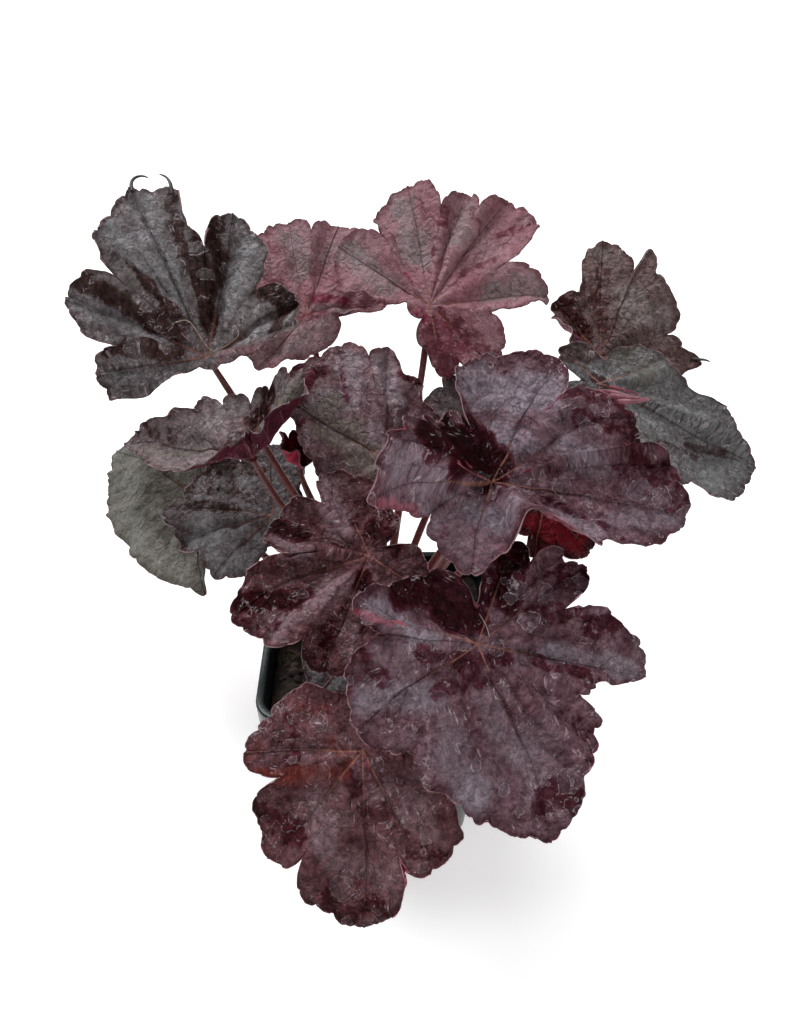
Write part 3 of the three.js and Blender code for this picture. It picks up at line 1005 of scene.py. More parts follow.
LEAVES = (
    Leaf(
        "upper_left", Skin.DUSKY, (-67, 55, 190), 105, 46, 0, -2, (128, 10, 0.9),
        (
            (-180, 5, 0), (-136, 8, 35), (-108, 18, 50), (-94, 34, 44), (-84, 41, 36), (-72, 43, 28),
            (-46, 34, 20), (-34, 51, 15), (-19, 60, 5), (-8, 46, 12), (-3, 50, 10), (0, 68, 8),
            (5, 70, 8), (15, 73, 8), (31, 66, 4), (40, 50, 10), (57, 60, 0), (68, 51, 0), (75, 34, 6),
            (88, 45, -5), (104, 42, -5), (112, 12, 0), (134, 5, 0),
        ),
        fold=0.26,
        bites=((-8, 4), (40, 5), (-46, 4)),
        overlaps=(Overlap((22, 60), (24, 22), 1.0), Overlap((-85, 36), (-110, 8), 1.6)),
        washes=(
            bloom_and_sheen(13, 69, 20, 25, 5, 0.9), bloom_and_sheen(27, 65, 26, 33, 4), bloom_and_sheen(58, 56, 60, 21, 3.5),
            bloom_and_sheen(92, 40, 104, 19, 3, 0.6), bloom_and_sheen(-29, 48, -32, 21, 4.5),
            bloom_and_sheen(-71, 20, -79, 38, 2.5, 0.7), stain_and_shade(30, 46, 32, 15, 3.4, 0.95),
            stain_and_shade(49, 58, 46, 14, 4.4, 1), stain_and_shade(78, 38, 70, 12, 3.4, 0.95),
            stain_and_shade(3, 63, 2, 34, 3.8, 0.7), stain_and_shade(-6, 43, -10, 12, 4.4, 1.1),
            stain_and_shade(-14, 53, -14, 28, 4.4, 0.95), stain_and_shade(-54, 34, -69, 39, 5, 1.2),
            stain_and_shade(-66, 42, -84, 30, 3, 1), blush(-130, 7, -98, 30, 4, 1),
        ),
    ),
    Leaf(
        "rear_left", Skin.ROSE, (-33, 112, 178), 100, 36, 0, -3, (104, 10.5, 0.7),
        (
            (-180, 19, 0), (-160, 18, 0), (-136, 17, 0), (-118, 16, 2), (-100, 12, 8), (-82, 38, 0),
            (-52, 33, 6), (-23, 53, 0), (-9, 42, 6), (3, 53, 0), (20, 43, 6), (40, 46, 0), (60, 31, 6),
            (84, 38, 0), (106, 30, 6), (131, 34, 0), (141, 30, 0), (152, 23, 0), (168, 21, 0),
        ),
        washes=(
            bloom_and_sheen(122, 24, -130, 11, 13, 0.7), stain_and_shade(112, 30, 135, 25, 5, 0.4),
            blush(92, 20, -98, 9, 2, 0.6), blush(-30, 8, -77, 20, 2.6, 1), bloom_and_sheen(6, 46, 2, 23, 7, 0.7),
            bloom_and_sheen(-35, 45, -22, 30, 6, 0.5),
        ),
    ),
    Leaf(
        "rear", Skin.ROSE, (20, 80, 199), 80, 38, 0, -3, (76, 7, 0.4),
        (
            (-180, 18, 0), (-160, 31, -4), (-146, 27, 4), (-126, 37, -4), (-92, 24, 8), (-76, 50, 0),
            (-54, 35, 8), (-40, 61, 0), (-25, 62, 0), (-18, 47, 8), (-8, 57, 0), (1, 44, 8), (17, 64, 0),
            (34, 52, 0), (39, 36, 8), (58, 52, 0), (80, 42, 0), (92, 9, 6), (160, 6, 0),
        ),
        washes=(
            stain_and_shade(-124, 6, -147, 24, 4, 0.9), blush(160, 6, 143, 5, 3, 0.8),
            stain_and_shade(-140, 12, -128, 34, 7, 0.7), stain_and_shade(-1, 45, 0, 35, 2.5, 0.7),
            stain_and_shade(4, 25, 3, 24, 2.5, 0.7), stain_and_shade(-15, 45, -23, 40, 3, 0.5), stain_and_shade(41, 40, 40, 35, 3, 0.6),
            stain_and_shade(-34, 44, -40, 58, 2.5, 0.5), stain_and_shade(-39, 20, -46, 31, 3, 0.6),
            stain_and_shade(-166, 12, -155, 30, 8, 0.9), stain_and_shade(-122, 20, -124, 36, 5, 0.6),
            bloom_and_sheen(21, 55, 21, 27, 7, 0.9), bloom_and_sheen(58, 47, 67, 21, 7, 0.8), bloom_and_sheen(-70, 26, -74, 47, 6, 0.9),
            bloom_and_sheen(-12, 48, -14, 28, 4, 0.7),
        ),
    ),
    Leaf(
        "rear_right", Skin.BRONZE, (93, 82, 174), 75, 30, 0, -2, (36, 11, 0.4),
        (
            (-180, 5, 0), (-130, 24, 0), (-114, 20, 8), (-104, 27, 8), (-96, 35, 9), (-88, 42, 10),
            (-79, 34, 15), (-69, 29, 20), (-52, 38, 30), (-30, 41, 34), (-16, 49, 29), (-11, 40, 12),
            (-4, 51, 8), (3, 57, 8), (8, 58, 8), (14, 54, 8), (18, 48, 8), (22, 37, 8), (27, 30, 10),
            (46, 33, 10), (62, 27, 20), (90, 20, 50), (140, 18, 60),
        ),
        teeth=0.7,
        washes=(
            stain_and_shade(44, 26, 51, 13, 7, 1.3), stain_and_shade(13, 29, -6, 8, 4, 0.6), bloom_and_sheen(15, 56, 9, 46, 5, 0.5),
            bloom_and_sheen(-18, 25, -58, 30, 8, 0.6), bloom_and_sheen(-28, 41, -49, 37, 4, 0.5), stain_and_shade(8, 45, 4, 15, 4, 0.4),
            blush(65, 21, 100, 14, 3, 1), blush(100, 14, 150, 2, 3, 1),
        ),
    ),
    Leaf(
        "right", Skin.SAGE, (88, 55, 178), 0, -8, 32, -2, (18, 10.5, 0.4),
        (
            (-180, 5, 0), (-130, 28, 0), (-100, 30, 0), (-76, 26, 6), (-56, 44, 2), (-44, 53, 0),
            (-31, 74, -4), (-17, 77, -4), (-12, 58, 6), (-4, 55, 2), (6, 37, 2), (17, 29, 8), (29, 32, 2),
            (47, 26, 0), (62, 20, 0), (77, 8, 6), (92, 12, 0), (116, 19, 0), (140, 22, 0), (152, 20, 0),
        ),
        washes=(
            stain_and_shade(-26, 45, -19, 61, 2.5, 0.7), stain_and_shade(-41, 34, -29, 51, 2.5, 0.5),
            stain_and_shade(130, 2, -41, 7, 3, 0.9), bloom_and_sheen(-24, 24, -15, 44, 5, 0.7),
            bloom_and_sheen(-37, 56, -22, 68, 6, 0.7), stain_and_shade(144, 18, 112, 12, 6, 0.7),
            blush(-62, 24, -60, 44, 6, 0.8), blush(20, 20, 60, 18, 8, 0.5),
        ),
    ),
    Leaf(
        "centre_right", Skin.PLUM, (39, -19, 186), -20, -5, 22, -3, (-30, 4, 0.4),
        (
            (-180, 38, 58), (-164, 47, 60), (-152, 51, 57), (-143, 49, 46), (-137, 50, 34),
            (-133, 32, 17), (-129, 23, 8), (-117, 29, 0), (-84, 34, 0), (-64, 27, 4), (-40, 27, 38),
            (-12, 43, 6), (1, 60, 0), (13, 69, 0), (28, 63, 4), (32, 51, 14), (44, 53, 20), (58, 46, 28),
            (68, 37, 22), (80, 50, 18), (94, 50, 18), (106, 47, 20), (126, 42, 27), (138, 20, 38),
            (165, 31, 55),
        ),
        bites=((-173, 5), (-159, 4), (172, 4)),
        overlaps=(
            Overlap((20, 14), (-8, 32)), Overlap((-8, 32), (-13, 44)), Overlap((76, 12), (84, 36), 0.9),
        ),
        washes=(
            bloom_and_sheen(122, 34, 77, 36, 9, 0.9), bloom_and_sheen(105, 18, 64, 17, 5),
            bloom_and_sheen(-147, 44, -143, 15, 4.5, 0.5), blush(-136, 49, -133, 30, 1.8, 0.8),
            blush(56, 46, 44, 53, 1.6, 0.7), bloom_and_sheen(-112, 24, -70, 30, 10, 0.9),
            bloom_and_sheen(-100, 12, -55, 18, 6, 0.8), blush(-105, 24, -68, 28, 9, 0.3),
            bloom_and_sheen(-14, 22, -12, 38, 4, 0.5), bloom_and_sheen(4, 44, 10, 62, 5, 0.6), bloom_and_sheen(43, 26, 27, 37, 5, 0.4),
            stain_and_shade(-170, 36, -166, 25, 8, 1.6), stain_and_shade(-172, 24, 118, 5, 10, 1.7),
            stain_and_shade(170, 26, 150, 10, 8, 1.7), stain_and_shade(142, 21, 119, 15, 5, 1.4),
            stain_and_shade(27, 48, 21, 63, 9, 0.5), stain_and_shade(49, 37, 37, 52, 5, 0.5),
            stain_and_shade(-55, 8, -12, 16, 2.5, 0.6), stain_and_shade(65, 39, 52, 45, 3.5, 0.5),
            stain_and_shade(-1, 18, -4, 45, 2.5, 0.5),
        ),
    ),
    Leaf(
        "under_right", Skin.CRIMSON, (64, 13, 152), -60, -40, 0, -2, (-2, 10, 0.4),
        (
            (-180, 5, 0), (-140, 18, 0), (-110, 14, 6), (-80, 19, 0), (-55, 18, 6), (-38, 24, 0),
            (-14, 19, 6), (20, 27, 0), (50, 18, 6), (80, 20, 0), (112, 14, 6), (140, 18, 0),
        ),
        washes=(blush(-39, 10, 12, 20, 6),),
    ),
    Leaf(
        "centre", Skin.OLIVE, (5, 27, 160), 95, 42, 0, -3, (88, 3, 0.2),
        (
            (-180, 6, 0), (-150, 16, 0), (-100, 18, 0), (-70, 16, 6), (-49, 27, 0), (-30, 27, 8),
            (-24, 36, 0), (-12, 36, 6), (-2, 49, 0), (8, 44, 6), (20, 54, 0), (36, 57, 0), (53, 58, 0),
            (66, 40, 8), (93, 30, 0), (116, 17, 6), (150, 20, 0),
        ),
        washes=(
            bloom_and_sheen(19, 44, 24, 31, 6), bloom_and_sheen(3, 38, -6, 27, 5), bloom_and_sheen(44, 38, 32, 28, 5, 0.7),
            bloom_and_sheen(24, 14, 138, 4, 4, 0.6), stain_and_shade(40, 60, 33, 47, 4), stain_and_shade(-12, 36, -24, 35, 3, 0.9),
            stain_and_shade(20, 52, 32, 31, 1.5, 0.5), stain_and_shade(62, 39, 55, 31, 3, 0.6), blush(50, 32, 122, 6, 9, 0.9),
        ),
    ),
    Leaf(
        "inner_right", Skin.GREY_GREEN, (36, 54, 158), 120, 35, 0, -2, (50, 7, 0.3),
        (
            (-180, 5, 0), (-140, 14, 0), (-104, 12, 6), (-70, 18, 0), (-38, 15, 6), (-8, 25, 0),
            (12, 19, 6), (34, 21, 0), (58, 15, 6), (86, 18, 0), (118, 11, 6), (148, 12, 0),
        ),
    ),
    Leaf(
        "young", Skin.CRIMSON, (-32, 36, 150), 120, 0, 0, 5, (115, 7, 0.3),
        (
            (-180, 5, 40), (-150, 14, 60), (-110, 10, 62), (-62, 14, 60), (-40, 11, 62), (-10, 16, 60),
            (16, 13, 62), (40, 18, 60), (70, 14, 62), (100, 17, 60), (150, 15, 60),
        ),
        washes=(blush(-10, 4, -10, 12, 14),),
    ),
    Leaf(
        "mid_left", Skin.FOLDED, (-48, 23, 165), 170, 0, -12, -3, (158, 6.5, 0.3),
        (
            (-180, 24, 74), (-158, 32, 62), (-140, 46, 46), (-132, 45, 40), (-118, 31, 44),
            (-108, 37, 44), (-97, 27, 38), (-86, 29, 34), (-75, 22, 26), (-60, 30, 20), (-49, 26, 18),
            (-38, 37, 13), (-26, 42, 10), (-10, 62, 0), (-3, 54, 3), (6, 43, 6), (10, 42, 8),
            (20, 38, 10), (28, 31, 12), (36, 20, 16), (46, 18, 34), (60, 17, 60), (81, 18, 80),
            (120, 14, 82), (150, 17, 78),
        ),
        bites=((-21, 4), (-33, 4), (-14, 2)),
        curls=(Curl(-150, -125, 7, 165),),
        washes=(
            bloom_and_sheen(-60, 24, -20, 26, 6, 0.6), blush(-128, 24, -132, 38, 6, 0.9),
            blush(0, 20, 2, 40, 5, 0.8), bloom_and_sheen(-89, 25, -120, 29, 6, 0.5),
            stain_and_shade(-84, 14, -98, 26, 5, 1.6), stain_and_shade(-15, 58, -11, 37, 3.5, 0.4),
            stain_and_shade(57, 29, -21, 10, 3.5, 0.5),
        ),
    ),
    Leaf(
        "low_left", Skin.GREY_GREEN, (-45, 35, 126), 190, -8, -25, -3, (150, 11, 0.6),
        (
            (-180, 5, 0), (-146, 16, 0), (-126, 29, 0), (-98, 38, 0), (-72, 30, 7), (-52, 40, 0),
            (-32, 44, 0), (-20, 50, 0), (-6, 41, 4), (2, 43, 0), (14, 33, 7), (34, 36, 0), (54, 30, 0),
            (70, 14, 7), (110, 12, 0), (148, 9, 0),
        ),
        washes=(
            bloom_and_sheen(-2, 29, 49, 27, 8), bloom_and_sheen(-54, 27, -87, 22, 5, 0.4), stain_and_shade(-26, 33, -20, 16, 3, 0.6),
            stain_and_shade(-67, 32, -87, 22, 5, 0.3), stain_and_shade(-44, 31, -63, 9, 3, 0.5),
            stain_and_shade(-30, 40, -75, 30, 11, 0.5),
        ),
    ),
    Leaf(
        "far_left", Skin.PALE, (-85, 67, 112), 150, -11, -30, -3, (172, 11, 1.2),
        (
            (-180, 5, 0), (-138, 22, 0), (-104, 34, 0), (-76, 28, 6), (-48, 46, 0), (-30, 66, 0),
            (-20, 78, 0), (-14, 85, 0), (-6, 78, 0), (1, 69, 0), (9, 60, 0), (19, 53, 2), (28, 48, 2),
            (49, 42, 2), (66, 39, 2), (84, 41, 0), (101, 43, 1), (112, 45, 0), (120, 50, 0), (126, 30, 0),
            (140, 12, 0),
        ),
        teeth=0.25,
        washes=(
            blush(-26, 70, 30, 46, 9, 0.7), blush(50, 36, 116, 46, 10, 0.9),
            stain_and_shade(-15, 24, 78, 4, 14, 0.8), stain_and_shade(-60, 36, -20, 40, 9, 0.6),
        ),
    ),
    Leaf(
        "front_left", Skin.RUSSET, (-3, -16, 150), 215, -15, -28, -3, (230, 4, 0.3),
        (
            (-180, 6, 0), (-156, 20, 0), (-127, 31, 0), (-104, 38, 0), (-85, 28, 8), (-70, 37, 0),
            (-50, 40, 0), (-37, 34, 7), (-27, 46, 0), (-14, 55, 0), (3, 49, 0), (16, 41, 8), (32, 46, 0),
            (47, 43, 0), (66, 17, 6), (110, 26, 0), (150, 20, 0),
        ),
        bites=((-37, 4), (16, 4), (-85, 4)),
        overlaps=(Overlap((-37, 32), (-30, 10), 1.2), Overlap((16, 38), (10, 12), 1.0)),
        washes=(
            bloom_and_sheen(-96, 34, -83, 13, 6), bloom_and_sheen(-47, 35, -41, 23, 4), bloom_and_sheen(4, 44, 11, 13, 5),
            bloom_and_sheen(33, 25, 44, 36, 4, 0.6), stain_and_shade(-57, 41, -53, 25, 4, 1.4),
            stain_and_shade(-17, 49, -4, 29, 5, 1.5), stain_and_shade(-11, 54, 0, 42, 3, 0.7), stain_and_shade(27, 40, 30, 22, 3, 0.7),
            stain_and_shade(36, 9, 66, 16, 4, 1.3), stain_and_shade(-139, 10, 165, 11, 5, 0.7),
            stain_and_shade(-109, 23, -150, 15, 5, 0.4),
        ),
    ),
    Leaf(
        "front_right", Skin.PLUM, (33, -63, 155), -80, -42, 0, -3, (-66, 8, 0.4),
        (
            (-180, 12, 5), (-153, 28, 10), (-128, 35, 14), (-116, 46, 26), (-102, 30, 18), (-79, 45, 10),
            (-62, 48, 4), (-40, 38, 6), (-19, 50, 0), (0, 62, 0), (15, 72, 0), (29, 64, 0), (33, 54, 6),
            (45, 52, 2), (56, 36, 8), (64, 43, 4), (72, 60, 0), (80, 60, 0), (95, 48, 0), (104, 32, 8),
            (116, 46, 0), (128, 44, 0), (139, 31, 8), (152, 38, 0),
        ),
        bites=((124, 4), (105, 4), (63, 3), (46, 3), (10, 3), (-3, 4)),
        overlaps=(
            Overlap((70, 41), (70, 12)), Overlap((-72, 40), (-41, 34)),
            Overlap((-51, 44), (-35, 38), 1.2),
        ),
        washes=(
            blush(-112, 45, -107, 31, 1.3, 0.8), bloom_and_sheen(-116, 40, -102, 17, 3.5),
            bloom_and_sheen(-72, 40, -54, 23, 6), bloom_and_sheen(-28, 30, -10, 50, 7, 0.6), bloom_and_sheen(-5, 15, 8, 28, 5, 0.4),
            bloom_and_sheen(77, 24, 74, 54, 4), bloom_and_sheen(17, 34, 17, 52, 6, 0.3), bloom_and_sheen(74, 45, 72, 63, 4),
            stain_and_shade(-132, 31, -169, 8, 7, 1.5), stain_and_shade(-150, 24, 165, 16, 6, 1.3), stain_and_shade(-86, 18, 50, 10, 4),
            stain_and_shade(-49, 19, -4, 12, 3.5, 0.7), stain_and_shade(92, 40, 91, 49, 5, 0.9),
            stain_and_shade(67, 21, 66, 39, 3, 0.6), stain_and_shade(20, 54, 27, 66, 7, 0.9), stain_and_shade(151, 35, 138, 17, 6, 1.4),
            stain_and_shade(126, 33, 112, 43, 4, 0.6), stain_and_shade(107, 19, 100, 36, 4, 0.5),
            stain_and_shade(-93, 39, -77, 32, 3, 0.6), stain_and_shade(46, 41, 37, 52, 3, 0.5),
        ),
    ),
    Leaf(
        "front", Skin.RUSSET, (-4, -80, 122), -95, -45, 0, -3, (-98, 10, 0.5),
        (
            (-180, 4, 0), (-154, 20, 0), (-132, 30, 0), (-108, 34, 4), (-84, 41, 0), (-69, 32, 6),
            (-51, 44, 0), (-38, 49, 0), (-26, 45, 5), (-12, 56, 0), (3, 62, 0), (14, 56, 0), (23, 41, 6),
            (32, 47, 0), (52, 44, 0), (68, 30, 6), (94, 26, 0), (136, 20, 0),
        ),
        bites=((-26, 5), (23, 5), (-69, 4)),
        overlaps=(Overlap((-60, 40), (-52, 14), 1.2), Overlap((24, 40), (22, 12), 1.0)),
        washes=(
            blush(-73, 34, -37, 9, 3, 0.8), blush(-104, 11, -51, 5, 2.5, 0.6),
            blush(-81, 39, -91, 34, 2.5, 0.5), blush(-121, 26, -132, 16, 3, 0.3),
            stain_and_shade(-110, 27, -70, 24, 3, 0.6), stain_and_shade(-54, 41, -38, 36, 5), stain_and_shade(6, 52, 12, 55, 4, 0.9),
            stain_and_shade(-12, 50, -2, 56, 4, 0.7), stain_and_shade(-48, 8, -8, 13, 3), stain_and_shade(25, 34, 40, 43, 3, 0.5),
            bloom_and_sheen(-38, 22, -14, 38, 5, 0.5), bloom_and_sheen(34, 15, 44, 34, 6, 0.5),
            bloom_and_sheen(-86, 24, -84, 19, 4, 0.4), bloom_and_sheen(-4, 36, 11, 43, 4, 0.3),
        ),
    ),
    Leaf(
        "low_front", Skin.SAGE, (-13, -24, 101), 205, -20, -20, -3, (206, 11, 0.8),
        (
            (-180, 4, 0), (-130, 12, 0), (-100, 10, 5), (-70, 15, 0), (-43, 18, 0), (-22, 16, 5),
            (16, 17, 0), (46, 12, 5), (80, 12, 0), (130, 11, 0),
        ),
        washes=(bloom_and_sheen(-60, 6, 20, 10, 14, 0.9),),
    ),
)


@dataclass
class LeafBlade:
    """The blade of one leaf: a thin folded sheet with lobes, teeth and sunken veins.

    Its points lie where rings round the stalk cross spokes from it. An array of points has
    a row for each ring and a column for each spoke; an array of spokes has only columns.
    """

    leaf: Leaf
    seed: int
    thickness: float = 0.42
    spacing: float = 0.7  # between points along the rim
    rings: int = 25
    rim_steps: tuple[float, ...] = (1.6, 0.8, 0.3, 0.0)  # rings close to the rim, inwards from it
    scallop_pitch: float = 8.0
    scallop_depth: float = 1.6
    tooth_pitch: float = 2.8
    tooth_depth: float = 0.28
    bite_width: float = 4.5
    vein_depth: float = 0.5
    rib_height: float = 0.45  # of a main vein under the blade
    rib_width: float = 0.8
    quilt: float = 0.7  # how far the blade swells between its side veins
    ripple: float = 0.95  # height of its loose waves
    ruffle: float = 1.3  # height of the waves along its rim
    sway: float = 4.0  # how far a spoke bends aside halfway out, in degrees
    knots: tuple[list[float], list[float]] = field(init=False)  # angles of lobe tips, and of notches
    angles: np.ndarray = field(init=False)  # spokes: angle from the midrib, in degrees
    arcs: np.ndarray = field(init=False)  # spokes: share of the way round the rim
    girth: float = field(init=False)  # length of the rim
    reach: np.ndarray = field(init=False)  # spokes: reach of the plain rim
    outline: np.ndarray = field(init=False)  # spokes: the plain rim, laid flat
    off_vein: np.ndarray = field(init=False)  # spokes: angle to the lobe's main vein
    off_share: np.ndarray = field(init=False)  # spokes: its share of the way to the notch line
    angle: np.ndarray = field(init=False)  # points: angle from the midrib
    distance: np.ndarray = field(init=False)  # points: distance from the stalk
    margin: np.ndarray = field(init=False)  # points: distance from the rim
    across: np.ndarray = field(init=False)  # points: distance from the main vein
    place: np.ndarray = field(init=False)  # points: where they are, laid flat

    def build(self) -> bpy.types.Object:
        """Makes the blade and dresses it.

        Returns:
            The new object.
        """
        self._place_spokes()
        self._place_rings()
        _, lift = self.leaf.rim_at(self.angles)
        middle = self.leaf.point(self.angle, self.distance, np.broadcast_to(lift, self.distance.shape))
        middle = middle + self._normals(middle) * self._relief()[..., None]
        middle = self._curl(middle)
        normals = self._normals(middle)
        rib = self.rib_height * np.exp(-((self.across / self.rib_width) ** 2))
        rib *= smooth_step(0, 6, self.distance)
        rib *= 1 - smooth_step(0.5, 1.0, self.distance / self.distance[-1])
        upper = middle + normals * (self.thickness / 2)
        lower = middle - normals * (self.thickness / 2 + rib)[..., None]
        finish = self.leaf.skin.value
        return self._close(upper, lower).finish(
            "leaf_" + self.leaf.name, finish.materials(), ["blade_" + self.leaf.name], finish.slot.value,
            channels=self._channels(),
        )

    def _place_spokes(self) -> None:
        """Spreads the spokes evenly along the rim, with one on each vein and each notch line."""
        rim = self.leaf.rim
        reaches = [reach for _, reach, _ in rim]
        around = list(zip(rim, [reaches[-1], *reaches], reaches[1:] + reaches[:1]))
        tips = [float(angle) for (angle, reach, _), before, after in around if before < reach >= after]
        notches = [float(angle) for (angle, reach, _), before, after in around if before >= reach < after]
        self.knots = tips, notches
        fine = np.linspace(-180.0, 179.99, 2881)
        sides = np.linalg.norm(np.diff(polar(fine, self.leaf.rim_at(fine)[0]), axis=0), axis=1)
        arc = np.concatenate([[0], np.cumsum(sides)])
        knots = sorted({-180.0, 179.99, *(a for a in (*tips, *notches) if -180 < a < 179)})
        angles = []
        for start, end in zip(knots[:-1], knots[1:]):
            low, high = np.interp([start, end], fine, arc)
            count = max(2, round((high - low) / self.spacing))
            marks = low + (high - low) * np.arange(count) / count
            angles.append(np.interp(marks, arc, fine))
        self.angles = np.concatenate(angles)
        self.arcs = np.interp(self.angles, fine, arc) / arc[-1]
        self.girth = float(arc[-1])
        self.reach, _ = self.leaf.rim_at(self.angles)
        self.outline = polar(self.angles, self.reach)

    def _place_rings(self) -> None:
        """Places the blade's points on rings from its stalk to its toothed rim."""
        turns = (-360.0, 0.0, 360.0)
        veins, bounds = (np.array(sorted(a + turn for a in knots for turn in turns)) for knots in self.knots)
        beyond = np.searchsorted(bounds, self.angles, side="right")
        low, high = bounds[beyond - 1], bounds[beyond]
        vein = veins[np.searchsorted(veins, low)]
        off = self.angles - vein
        self.off_vein = np.abs(off)
        self.off_share = np.clip(self.off_vein / np.where(off < 0, vein - low, high - vein), 0, 1)
        shares = (np.arange(1, self.rings + 1) / (self.rings + 0.8)) ** 0.92
        rows = [share * self.reach for share in shares * 0.955]
        teeth = self._teeth()
        for step in self.rim_steps:
            inset = step * np.clip(0.03 * self.reach, 0, 1)
            rows.append(self.reach - inset - teeth * max(0.0, 1 - step / 1.8))
        self.distance = np.minimum.accumulate(np.array(rows)[::-1], axis=0)[::-1]
        bend = self.sway * wander(polar(self.angles, 1.0), 2.2, self.seed + 5, 3)
        self.angle = self.angles + bend * np.sin(math.pi * (self.distance / self.distance[-1])) ** 2
        self.margin = self.distance[-1] - self.distance
        self.across = self.distance * np.radians(self.off_vein)
        self.place = polar(self.angle, self.distance)

    def _teeth(self) -> np.ndarray:
        """How far the rim is cut in at each spoke by its scallops, small teeth and bites.

        Returns:
            The depth of the cut in millimetres.
        """
        drift = self.arcs * self.girth + 1.8 * wander(self.outline, 24.0, self.seed + 7)
        turns = math.pi * drift / self.girth
        scallop = 1 - np.abs(np.sin(turns * round(self.girth / self.scallop_pitch))) ** 0.5
        scallop *= 1 + 0.3 * wander(self.outline, 13.0, self.seed + 8)
        tooth = 1 - np.abs(np.sin(turns * round(self.girth / self.tooth_pitch))) ** 0.8
        cut = self.scallop_depth * scallop + self.tooth_depth * tooth
        cut *= np.clip((self.reach - 8) / 25, 0, self.leaf.teeth)
        for angle, depth in self.leaf.bites:
            apart = np.abs((self.angles - angle + 180) % 360 - 180)
            away = np.radians(apart) * self.reach / self.bite_width
            cut += depth * np.clip(1 - away, 0, 1) ** 1.6
        return cut

    def _relief(self) -> np.ndarray:
        """Height of the blade's folds, vein grooves, quilting, waves and overlaps.

        Returns:
            The height of each point over the plain middle surface.
        """
        share = self.distance / self.distance[-1]
        half = self.distance * np.radians(self.off_vein / np.maximum(self.off_share, 1e-3))
        room = np.minimum(np.nan_to_num(half, nan=0.0), 15.0)
        fold = self.leaf.fold * room * (np.sin(self.off_share * math.pi / 2) ** 1.1 - 0.5)
        groove = -self.vein_depth * np.exp(-(self.across**2)) * (1 - 0.7 * share)
        slant = self.distance - SIDE_VEIN_SLANT * self.across + 2.5 * wander(self.place, 30.0, self.seed + 1)
        swell = np.abs(np.sin(math.pi * slant / SIDE_VEIN_PITCH)) ** 0.7 - 0.6
        swell *= self.quilt * smooth_step(0.5, 4.0, self.across)
        loose = self.ripple * wander(self.place, 26.0, self.seed + 2)
        loose += 0.5 * wander(self.place, 9.0, self.seed + 3)
        frill = self.ruffle * wander(self.outline, 26.0, self.seed + 4) * share**4
        total = (fold + groove + swell + loose + frill) * smooth_step(1.0, 12.0, self.distance)
        return total + sum(self._step(overlap) for overlap in self.leaf.overlaps)

    def _stroke(self, start: tuple[float, float], end: tuple[float, float]) -> tuple[np.ndarray, ...]:
        """Measures the blade's points against a stroke on it.

        Args:
            start: Angle and reach of the stroke's start.
            end: Angle and reach of its end.

        Returns:
            Each point's share of the way along the stroke, from 0 to 1, its distance from
            the stroke, and its distance to the left of the stroke's line.
        """
        tail = polar(*start)
        line = polar(*end) - tail
        length = max(float(np.linalg.norm(line)), 1e-6)
        from_tail = self.place - tail
        share = np.clip(from_tail @ line / length**2, 0, 1)
        away = np.linalg.norm(from_tail - share[..., None] * line, axis=-1)
        return share, away, from_tail @ np.array([-line[1], line[0]]) / length

    def _step(self, overlap: Overlap) -> np.ndarray:
        """Height that an overlap adds at each point.

        Args:
            overlap: The overlap.

        Returns:
            The heights.
        """
        share, away, left = self._stroke(overlap.start, overlap.end)
        ragged = left + 0.5 * wander(self.place, 5.0, self.seed + 12)
        ends = np.sin(math.pi * np.clip(share, 0.02, 0.98)) ** 0.4
        beyond = np.clip(1 - (away - np.abs(left)) / 3.0, 0, 1)
        sunk = smooth_step(-0.3, 0.3, ragged) * np.exp(-np.abs(ragged) / overlap.width)
        return overlap.height * ends * beyond * sunk

    def _curl(self, surface: np.ndarray) -> np.ndarray:
        """Rolls the rim up where the leaf's curls say.

        Args:
            surface: Points of the middle surface.

        Returns:
            The curled surface.
        """
        for curl in self.leaf.curls:
            share = ((self.angle[-1] - curl.start) % 360) / ((curl.end - curl.start) % 360)
            turn = math.radians(curl.turn) * np.sin(math.pi * np.clip(share, 0, 1)) ** 0.6 + 1e-6
            past = np.clip(curl.width - self.margin, 0, None)
            radius = curl.width / turn
            inwards = past - radius * np.sin(past / radius)
            up = radius * (1 - np.cos(past / radius))
            outwards = unit(np.gradient(surface, axis=0))
            surface = surface - outwards * inwards[..., None] + self._normals(surface) * up[..., None]
        return surface

    def _normals(self, surface: np.ndarray) -> np.ndarray:
        """Normals of the surface's upper side at each point of the grid, a little smoothed.

        Args:
            surface: The points.

        Returns:
            The normals, of length 1.
        """
        around = np.roll(surface, -1, axis=1) - np.roll(surface, 1, axis=1)
        normals = unit(np.cross(np.gradient(surface, axis=0), around))
        for _ in range(2):
            normals = unit(np.roll(normals, 1, axis=1) + np.roll(normals, -1, axis=1) + 2 * normals)
        return normals

    def _close(self, upper: np.ndarray, lower: np.ndarray) -> Stock:
        """Joins the two faces at the stalk and at the rim.

        Args:
            upper: Points of the upper face, in the blade's own axes.
            lower: Points of the lower face.

        Returns:
            The closed form.
        """
        rows, columns = self.distance.shape
        count = rows * columns
        hearts = np.array([[0, 0, self.thickness / 2], [0, 0, -self.thickness / 2 - 0.3]])
        points = np.concatenate([upper.reshape(-1, 3), lower.reshape(-1, 3), hearts])
        heart = 2 * count
        above = turned(lattice(rows, columns)) + fan(range(columns), heart)
        below = [tuple(heart + 1 if i == heart else i + count for i in face) for face in turned(above)]
        rim = [(count - columns + k, count - columns + (k + 1) % columns) for k in range(columns)]
        edge = [(a, a + count, b + count, b) for a, b in rim]
        stock = Stock()
        slots = [0] * len(above) + [1] * len(below) + [2] * len(edge)
        stock.add(points @ self.leaf.turn().T + np.array(self.leaf.at), above + below + edge, slots)
        return stock

